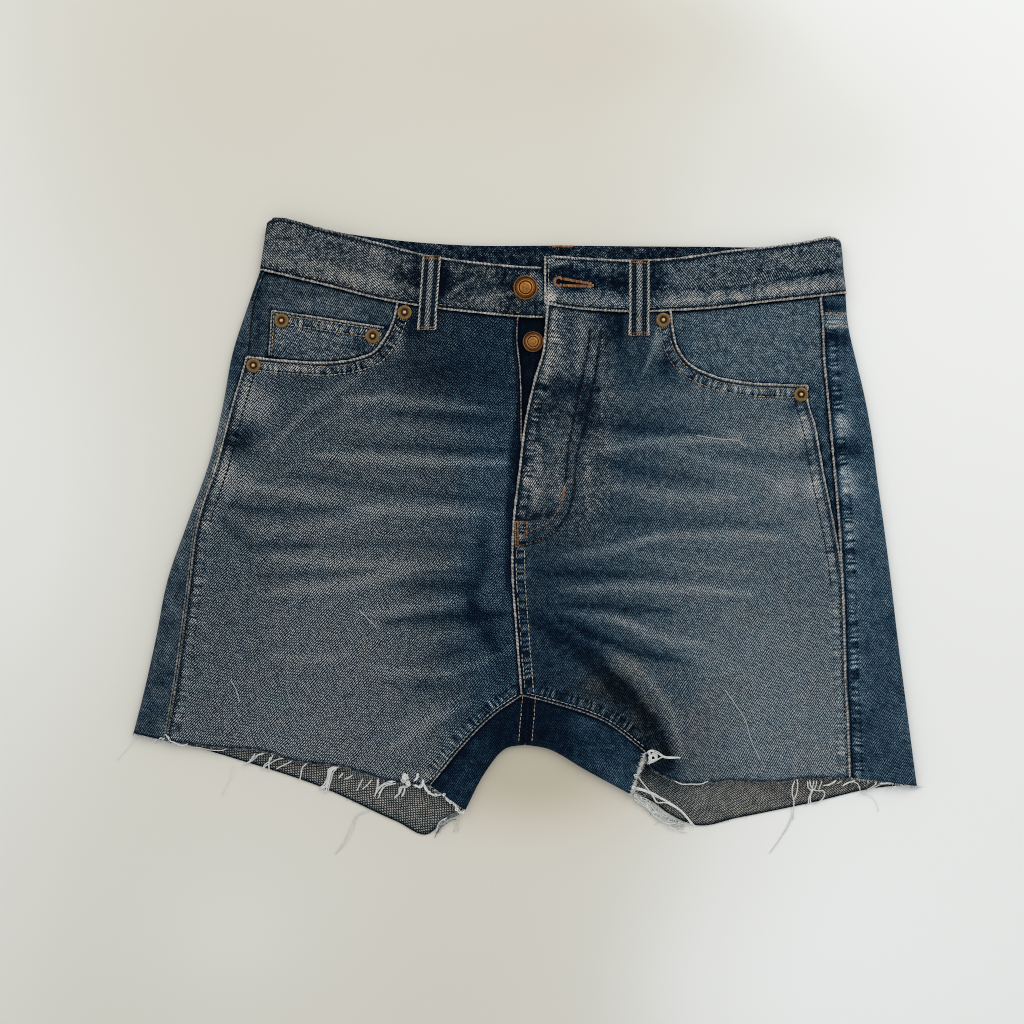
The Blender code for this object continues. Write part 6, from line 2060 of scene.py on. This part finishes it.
def fuzz():
    for side, turn in (("right", -1), ("left", 1)):
        key, rim = ("front", side), inCloth(side, "front")
        hemHairs(key, rim, turn, 3.2, 0.5, 2.2, "blue")
        # the cut edge itself, a frayed dark cord
        cord, at = evenly(rim + (0, 0, cut["clothThick"] * 0.2), 0.9)
        swell = 0.5 + 0.14 * np.sin(at * 1.7 + 2 * np.sin(at * 0.3)) + hairRandom.normal(0, 0.08, len(at))
        cord[:, 1] += 0.25 * np.sin(at * 0.9) + hairRandom.normal(0, 0.12, len(at))
        worn = 0.02 + 0.1 * np.sin(at * 2.3) ** 2
        addTube(threadPiles[key]["blue"], cord, np.maximum(swell, 0.2), 5, worn)
        hemHairs(key, rim, turn, 1.2, 0.5, 2.2, radius=0.12)
        for part, way, share in (("strip", turn, 0.5), ("thigh", -turn, 0.5), ("back", -turn, -0.5)):
            rim = inCloth(side, part, share)
            hemHairs(("back", side), rim, way, 2.6, 0.8, 3.6)
            hemHairs(("back", side), rim, way, 1.2, 0.5, 1.8, "blue")


def rightHem():
    # from the outside in
    strands("right", """
        front 1.5 6.6 .42 3: -262.2 -152.4, -259.4 -149.6, -255.8 -147.2, -253 -145.9, -250.6 -146.4, -248.5
            -149.6;
        front 2 6.6 .42 2: -261 -150.4, -257 -149.2, -253.8 -148.4, -251.8 -148;
        front 6.6 5.5 .36: -249 -149.6, -245.7 -150.4, -242.5 -152.4, -238.9 -152.9, -235.3 -151.2;
        front 3.2 5.6 .4: -235.3 -154.4, -228.9 -154.8, -222.4 -156.2, -215.2 -156.6, -211.2 -156.2, -208.4
            -154.8;
        front 2.4 6 .5: -198.3 -167.2, -194.3 -165.2, -191.1 -161.6, -188.7 -158.4;
        front 2.4 6 .5: -195.9 -167.2, -191.9 -163.2, -187.9 -160, -182.2 -158.4;
        front 2.4 6 .4: -194.4 -166, -190 -162.8, -186 -158.8;
        front 2.4 6 .45: -184.7 -170.5, -183 -167.2, -179 -164, -177.4 -161.6, -176.2 -158.8;
        front 1.6 6 .5: -179.8 -172.5, -180 -169.7, -179.8 -166.4, -179 -163.2, -178.2 -160.8;
        front 2.4 6 .45: -184.3 -170.5, -182.2 -168, -178.2 -165.6, -173.4 -162.8, -168.6 -161.6;
        front 2.6 6 .42: -175 -170.3, -171 -168, -166.2 -165.6, -162.2 -162.8;
        front 2.4 6 .46: -158.6 -178.9, -157.3 -173.8, -156 -168.7, -152.6 -165.3;
        front 2.2 6.4 .46 5 1.6: -143.3 -184.8, -139.9 -181.4, -138.2 -177.2, -136.5 -171.3, -131.8 -168.3;
        front 2.2 6.4 .46 3: -138.6 -186.5, -137.4 -181.4, -135.7 -176.3, -134 -171.3, -131.4 -168.7;
        front 3 6 .5 2 .8: -131 -176.8, -129.7 -174.7, -127.2 -172.1;
        front 3 6 .48: -126.8 -177, -123.8 -175.9, -120.8 -173.6;
        front 2.6 6 .46: -118.3 -185.7, -116.2 -181.4, -113.6 -176.3;
        front 2.6 6 .46: -114.5 -184.4, -111.9 -182.3, -107.2 -176.8;
        front 2.4 6.2 .46 4 1.8: -106 -189.9, -104.3 -186.5, -100 -181.4, -92.4 -178.5;
        front 2.4 6.2 .42 2: -105 -188, -103.8 -182, -103 -176.5;
        front 7.2 2.6 .55 3 1: -84.8 -171.7, -83.9 -174.7, -85.6 -175.5, -83.1 -178, -80.5 -177.2, -81.8
            -181.4, -86.5 -182.3, -87.7 -186.5, -91.6 -189.9;
        front 6 2.8 .5 2 .8: -83.9 -183.1, -85.2 -186.5, -86.9 -189.9
    """)
    snarls("right", "-83.6 -175", 7.0, 2.4, 9, 0.5)
    snarls("right", "-81.6 -179.6", 6.6, 1.8, 5, 0.46)
    strands("right", """
        front 7 6.6 .5 2 .6: -75.4 -172.1, -75.9 -175.5, -78 -178;
        front 6.4 5 .5 3 .9: -78 -180.6, -72.9 -182.3, -71.2 -177.2, -70 -183, -67 -186.5, -61.9 -188.2,
            -56.8 -186.5, -54.2 -190.8, -49.1 -195, -45.8 -200.1, -42.4 -200.1
    """)
    spots = "-73 -181, -67 -185.6, -62.5 -187.6, -56.6 -186.8, -52 -192.6, -47.6 -197.6, -43.6 -200"
    snarls("right", spots, 6.0, 1.3, 3, 0.38)
    key, corner = ("back", "right"), "-61.9 -214.6, -58.5 -207.4, -54 -204, -50 -201.6, -46.6 -200.1"
    strand(key, pointsFrom(corner), 1.8, 4.5, 0.24, 5, 1.8, 0.35, "blue")
    rim = sloping(corner, 1.8, 4.5)
    hemHairs(key, rim, -1, 5.0, 0.8, 2.6, "blue", 0.9)
    hemHairs(key, rim, -1, 4.0, 1.0, 3.0, "white", 0.9)
    strands("right", """
        back 1.6 3 .3 2 1.6: -61.9 -214, -59.5 -208, -54.6 -204;
        back 2 .5 .2 3 2: -48.3 -201.8, -47.5 -208.6, -50 -215.4;
        back 1.2 .4 .2 2 2: -110.2 -199.3, -118.7 -203.5, -122.9 -212, -128.9 -223.8, -134 -231;
        back 1.2 .4 .16: -205 -167, -208 -178, -214 -190;
        back 1.2 .4 .14: -272 -146, -280 -156, -288 -165
    """)


def leftHem():
    # from the inside out
    front, back = ("front", "left"), ("back", "left")
    curl = "86 -155.8, 84.8 -162, 80.2 -167.5, 77.8 -172.2, 76.3 -178.4, 74.7 -184.7, 75.4 -189"
    strand(front, pointsFrom(curl), 6.8, 3.2, 0.5, 5, 1.5)
    rim = sloping(curl, 6.8, 3.0)
    hemHairs(front, rim, -1, 7.0, 1.2, 3.6, "white", 0.8)
    hemHairs(front, rim, 1, 5.0, 0.8, 3.0, "white", 0.8)
    rim = inCloth("left", "thigh") + (0, 0, 0.6)
    hemHairs(front, rim, 1, 7.0, 0.9, 3.0, "white", 0.9, 0.18)
    hemHairs(front, rim, -1, 5.0, 0.8, 2.4, "white", 0.9, 0.18)
    strands("left", """
        front 10 9.4 .34 3 .7: 84.8 -157.3, 86.8 -155.8, 91.1 -156.9, 96.6 -160.1, 108.3 -160.8;
        front 9.6 9.4 .32 2 .6: 85.6 -165.1, 90.3 -163.2, 95.8 -160.4, 102.8 -160.1, 108.3 -160.4;
        front 10 9.4 .36 4 1: 86 -156.4, 87.4 -160, 86.4 -165
    """)
    snarls("left", "89.2 -160.6", 9.8, 3.6, 14, 0.3)
    rim = sloping("76 -186, 80 -190, 85.6 -194, 90 -199, 96 -203.6, 103 -207, 112 -210", 2.8, 1.2)
    hemHairs(back, rim, -1, 9.0, 1.5, 5.5, "white", 0.9, 0.18)
    hemHairs(back, rim, 1, 6.0, 1.0, 3.5, "white", 0.9, 0.18)
    hemHairs(back, rim, 1, 5.0, 0.8, 2.6, "blue", 0.9)
    strands("left", """
        front 5 2.4 .42 2 .8: 78.6 -173.7, 81.7 -178.4, 86.8 -184.7, 90.3 -189.4, 92.7 -193.3, 98.9 -193.7,
            103.6 -195.6, 110.6 -200.3, 116.9 -207.3, 120 -211;
        front 4.4 2.4 .42 3 .9: 77 -182.7, 85.6 -185.4, 92.7 -188.6, 101.3 -193.3, 109.1 -198.7, 114.5
            -204.2, 117.7 -209.4;
        back 2.6 1.2 .26 8 3.2: 77.8 -189.4, 85.6 -193.5, 89.5 -198.7, 95.8 -204, 102.8 -208.1, 112.2
            -210.2;
        front 9.4 9.4 .42: 104.4 -176.9, 108.3 -178.8, 115.3 -179.2, 123.1 -178.8, 127.8 -176.9;
        front 6.4 .8 .42: 188.8 -177.3, 187.3 -181, 187.3 -186.9, 188.8 -192, 189.2 -197.2, 188.8 -206.7;
        front 6.6 3 .42: 189.9 -175.4, 191 -181, 190.7 -186.9, 189.2 -191.3;
        back 1 .4 .2 2 1.4: 189.2 -200.9, 185.5 -211.2, 179.6 -220.7, 173 -229.6;
        front 6.4 2.2 .46 2 .9: 199.1 -176.9, 199.9 -181, 201.7 -183.9, 200.6 -189.1, 201 -195;
        front 6.4 4 .42: 202 -177.4, 201.4 -183, 200.8 -188;
        front 6.4 4.6 .4: 204 -177.4, 203.2 -183, 201.4 -185;
        front 4.6 2.2 .44: 202 -184.4, 206.1 -185, 209.8 -185.4, 210.5 -188.3, 208.3 -192, 203.2 -195;
        front 6.4 4 .44: 207.6 -177.3, 206.9 -181.7, 205.8 -184.6;
        front 4.6 6.2 .44 2 .8: 209.1 -181, 212.7 -181, 217.9 -177.3;
        front 4.6 6.2 .44: 218.6 -180.2, 221.6 -177.6;
        front 4.6 6.4 .46 2 .7: 222.3 -181.7, 226 -179.5, 230.4 -177.3;
        front 6.4 3 .44: 229.7 -178, 233.4 -180.2, 235.6 -185.4;
        back 3 6 .46: 235.6 -186.9, 240.7 -185.4, 248.8 -181, 258.4 -179.1, 248.1 -179.5;
        back 3.4 6 .4: 240 -184.6, 244 -182, 246 -178.6;
        back 4 6 .44: 255.5 -183.9, 259.9 -181;
        back 3.6 2 .24 4 1.6: 270.2 -181.6, 275.4 -182.4, 279.8 -182.4;
        back 1 .4 .14: 237.8 -188, 244 -190, 248.4 -196.4, 249.4 -201
    """)
    snarls("left", "84 -158, 81 -166, 77.6 -174, 76 -182, 77.4 -188", 6.2, 1.5, 3, 0.36)


def lint():
    # fine pale hairs lying on the legs
    for side, text in (
        ("right", "-116 -58, -110 -64, -104 -70"), ("right", "-206 -107, -202 -114, -199.5 -122.5"),
        ("left", "140 -114, 147 -124, 154 -135, 158 -149, 164.5 -163"), ("left", "149 61, 152 58, 154 56"),
        ("left", "120 64, 132 62, 150 60.5"),
    ):
        line = path(pointsFrom(text))(np.linspace(0, 1, 40))
        addTube(threadPiles["front", side]["white"], onCloth(line, side == "left", rise=0.3), 0.27, 4, 0.3)


for work in (fuzz, rightHem, leftHem, lint):
    work()
for (face, side), piles in threadPiles.items():
    end = face + "_" + side
    pileToPiece(piles["white"], "threads_" + end, threadWhite, "fringe_" + end)
    pileToPiece(piles["blue"], "fuzz_" + end, threadBlue)


# What each piece lies on; declare only reads the list and keeps nothing.
def declare(piece, restsOn):
    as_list(restsOn)


under = {side: [pocketPiece[side], backPiece[side]] for side in sides}
declare(backPiece["right"], ["floor", pocketPiece["right"]])
declare(backPiece["left"], ["floor", pocketPiece["left"]])
declare(yokePiece["right"], ["floor"])
declare(yokePiece["left"], ["floor"])
declare(frontPiece["right"], [backPiece["right"], facingPiece["right"]])
declare(frontPiece["left"], [backPiece["left"], facingPiece["left"], standPiece])
declare(facingPiece["right"], under["right"])
declare(facingPiece["left"], under["left"])
declare(coinPiece, [facingPiece["right"]])
declare(standPiece, [backPiece["left"], backPiece["right"]])
declare(bandPiece, list(yokePiece.values()))
for loopPiece in loopPieces:
    declare(loopPiece, [bandPiece])
for side in sides:
    declare(pocketPiece[side], ["floor"])


print("shorts: stage, light and camera")
# The floor's tone is painted light: brighter toward the right, with painted pools of light and shade and a
# painted shadow between the legs; the ramp's darkest warm colour is that shadow.
stage = {
    "worldStrength": 0.66,
    "world": (236, 238, 240),
    "lampColor": (1.0, 0.99, 0.97),
    "lamps": {"windowLight": ((0.9, 1.1, 1.5), 1.3, 14.0), "fillLight": ((-1.0, 0.6, 1.4), 1.2, 5.0)},
    "half": 4.0,
    "floorZ": -0.0002,
    "floorTone": 0.47,
    "paintedRightLight": 0.42,
    "paintedLightPatches": table("x y reachX reachY tone", """
        -400 60 90 600 .2, -320 20 90 170 .14, -225 330 110 110 -.08, -10 345 140 90 -.1,
        -60 -330 140 70 -.03, 120 -330 90 80 .14, 260 -330 150 120 .1, -200 -290 90 80 .12,
        215 265 80 70 -.2, 130 340 90 40 -.12, 5 -172 80 38 -.52"""),
    "floorColors": [(0.0, (198, 190, 170)), (0.33, (219, 213, 199)), (0.55, (227, 225, 215)),
                    (0.8, (243, 243, 240)), (1.0, (250, 251, 249))],
}


def addFloor():
    mesh = bpy.data.meshes.new("floor")
    half, low = stage["half"], stage["floorZ"]
    corners = [(-half, -half, low), (half, -half, low), (half, half, low), (-half, half, low)]
    mesh.from_pydata(corners, [], [(0, 1, 2, 3)])
    floor = bpy.data.objects.new("floor", mesh)
    bpy.context.scene.collection.objects.link(floor)
    material, tree, shader = startMaterial("paleFloorPaintedLight")
    x, y, _ = axesOf(tree, placeOf(tree)[0])
    # painted light: brighter toward the right, then the painted patches of light and shade
    right = mapped(tree, x, 0.03, 0.24, kind="SMOOTHSTEP")
    tone = right.then("MULTIPLY_ADD", stage["paintedRightLight"], stage["floorTone"])
    for spotX, spotY, reachX, reachY, amount in zip(*stage["paintedLightPatches"].values()):
        center = tableToFrame((spotX, spotY, 0.0))
        spot = bell(x, center[0], reachX * mm) * bell(y, center[1], reachY * mm)
        tone = spot.then("MULTIPLY_ADD", amount, tone)
    finishMaterial(tree, shader, colorRamp(tree, tone, stage["floorColors"]), 0.7, 0.3)
    mesh.materials.append(material)


def addLight():
    world = bpy.data.worlds.new("studio")
    world.use_nodes = True
    sky = world.node_tree.nodes["Background"]
    sky.inputs["Color"].default_value = srgb(*stage["world"])
    sky.inputs["Strength"].default_value = stage["worldStrength"]
    bpy.context.scene.world = world
    for name, (spot, size, power) in stage["lamps"].items():
        lamp = bpy.data.lights.new(name, "AREA")
        lamp.size, lamp.energy, lamp.color = size, power, stage["lampColor"]
        holder = bpy.data.objects.new(name, lamp)
        holder.location = spot
        holder.rotation_mode = "QUATERNION"
        holder.rotation_quaternion = (-holder.location).to_track_quat("-Z", "Y")
        bpy.context.scene.collection.objects.link(holder)


addFloor()
addLight()
cameraFacts = {"aim": (-9.1, 10.5), "height": 756.0, "frameWidth": 716.8, "planeHeight": 6.0}
lens = bpy.data.cameras.new("camera")
lens.sensor_fit = "HORIZONTAL"
distance = cameraFacts["height"] - cameraFacts["planeHeight"]
lens.angle = 2 * np.arctan(cameraFacts["frameWidth"] / 2 / distance)
eye = bpy.data.objects.new("camera", lens)
eye.location = tableToFrame((*cameraFacts["aim"], cameraFacts["height"]))
bpy.context.scene.collection.objects.link(eye)
bpy.context.scene.camera = eye
bpy.context.scene.view_settings.view_transform = "Standard"
bpy.context.scene.cycles.pixel_filter_type = "BOX"      # keeps the twill crisp
bpy.context.scene.cycles.filter_width = 0.9
bpy.context.scene.cycles.denoising_prefilter = "NONE"
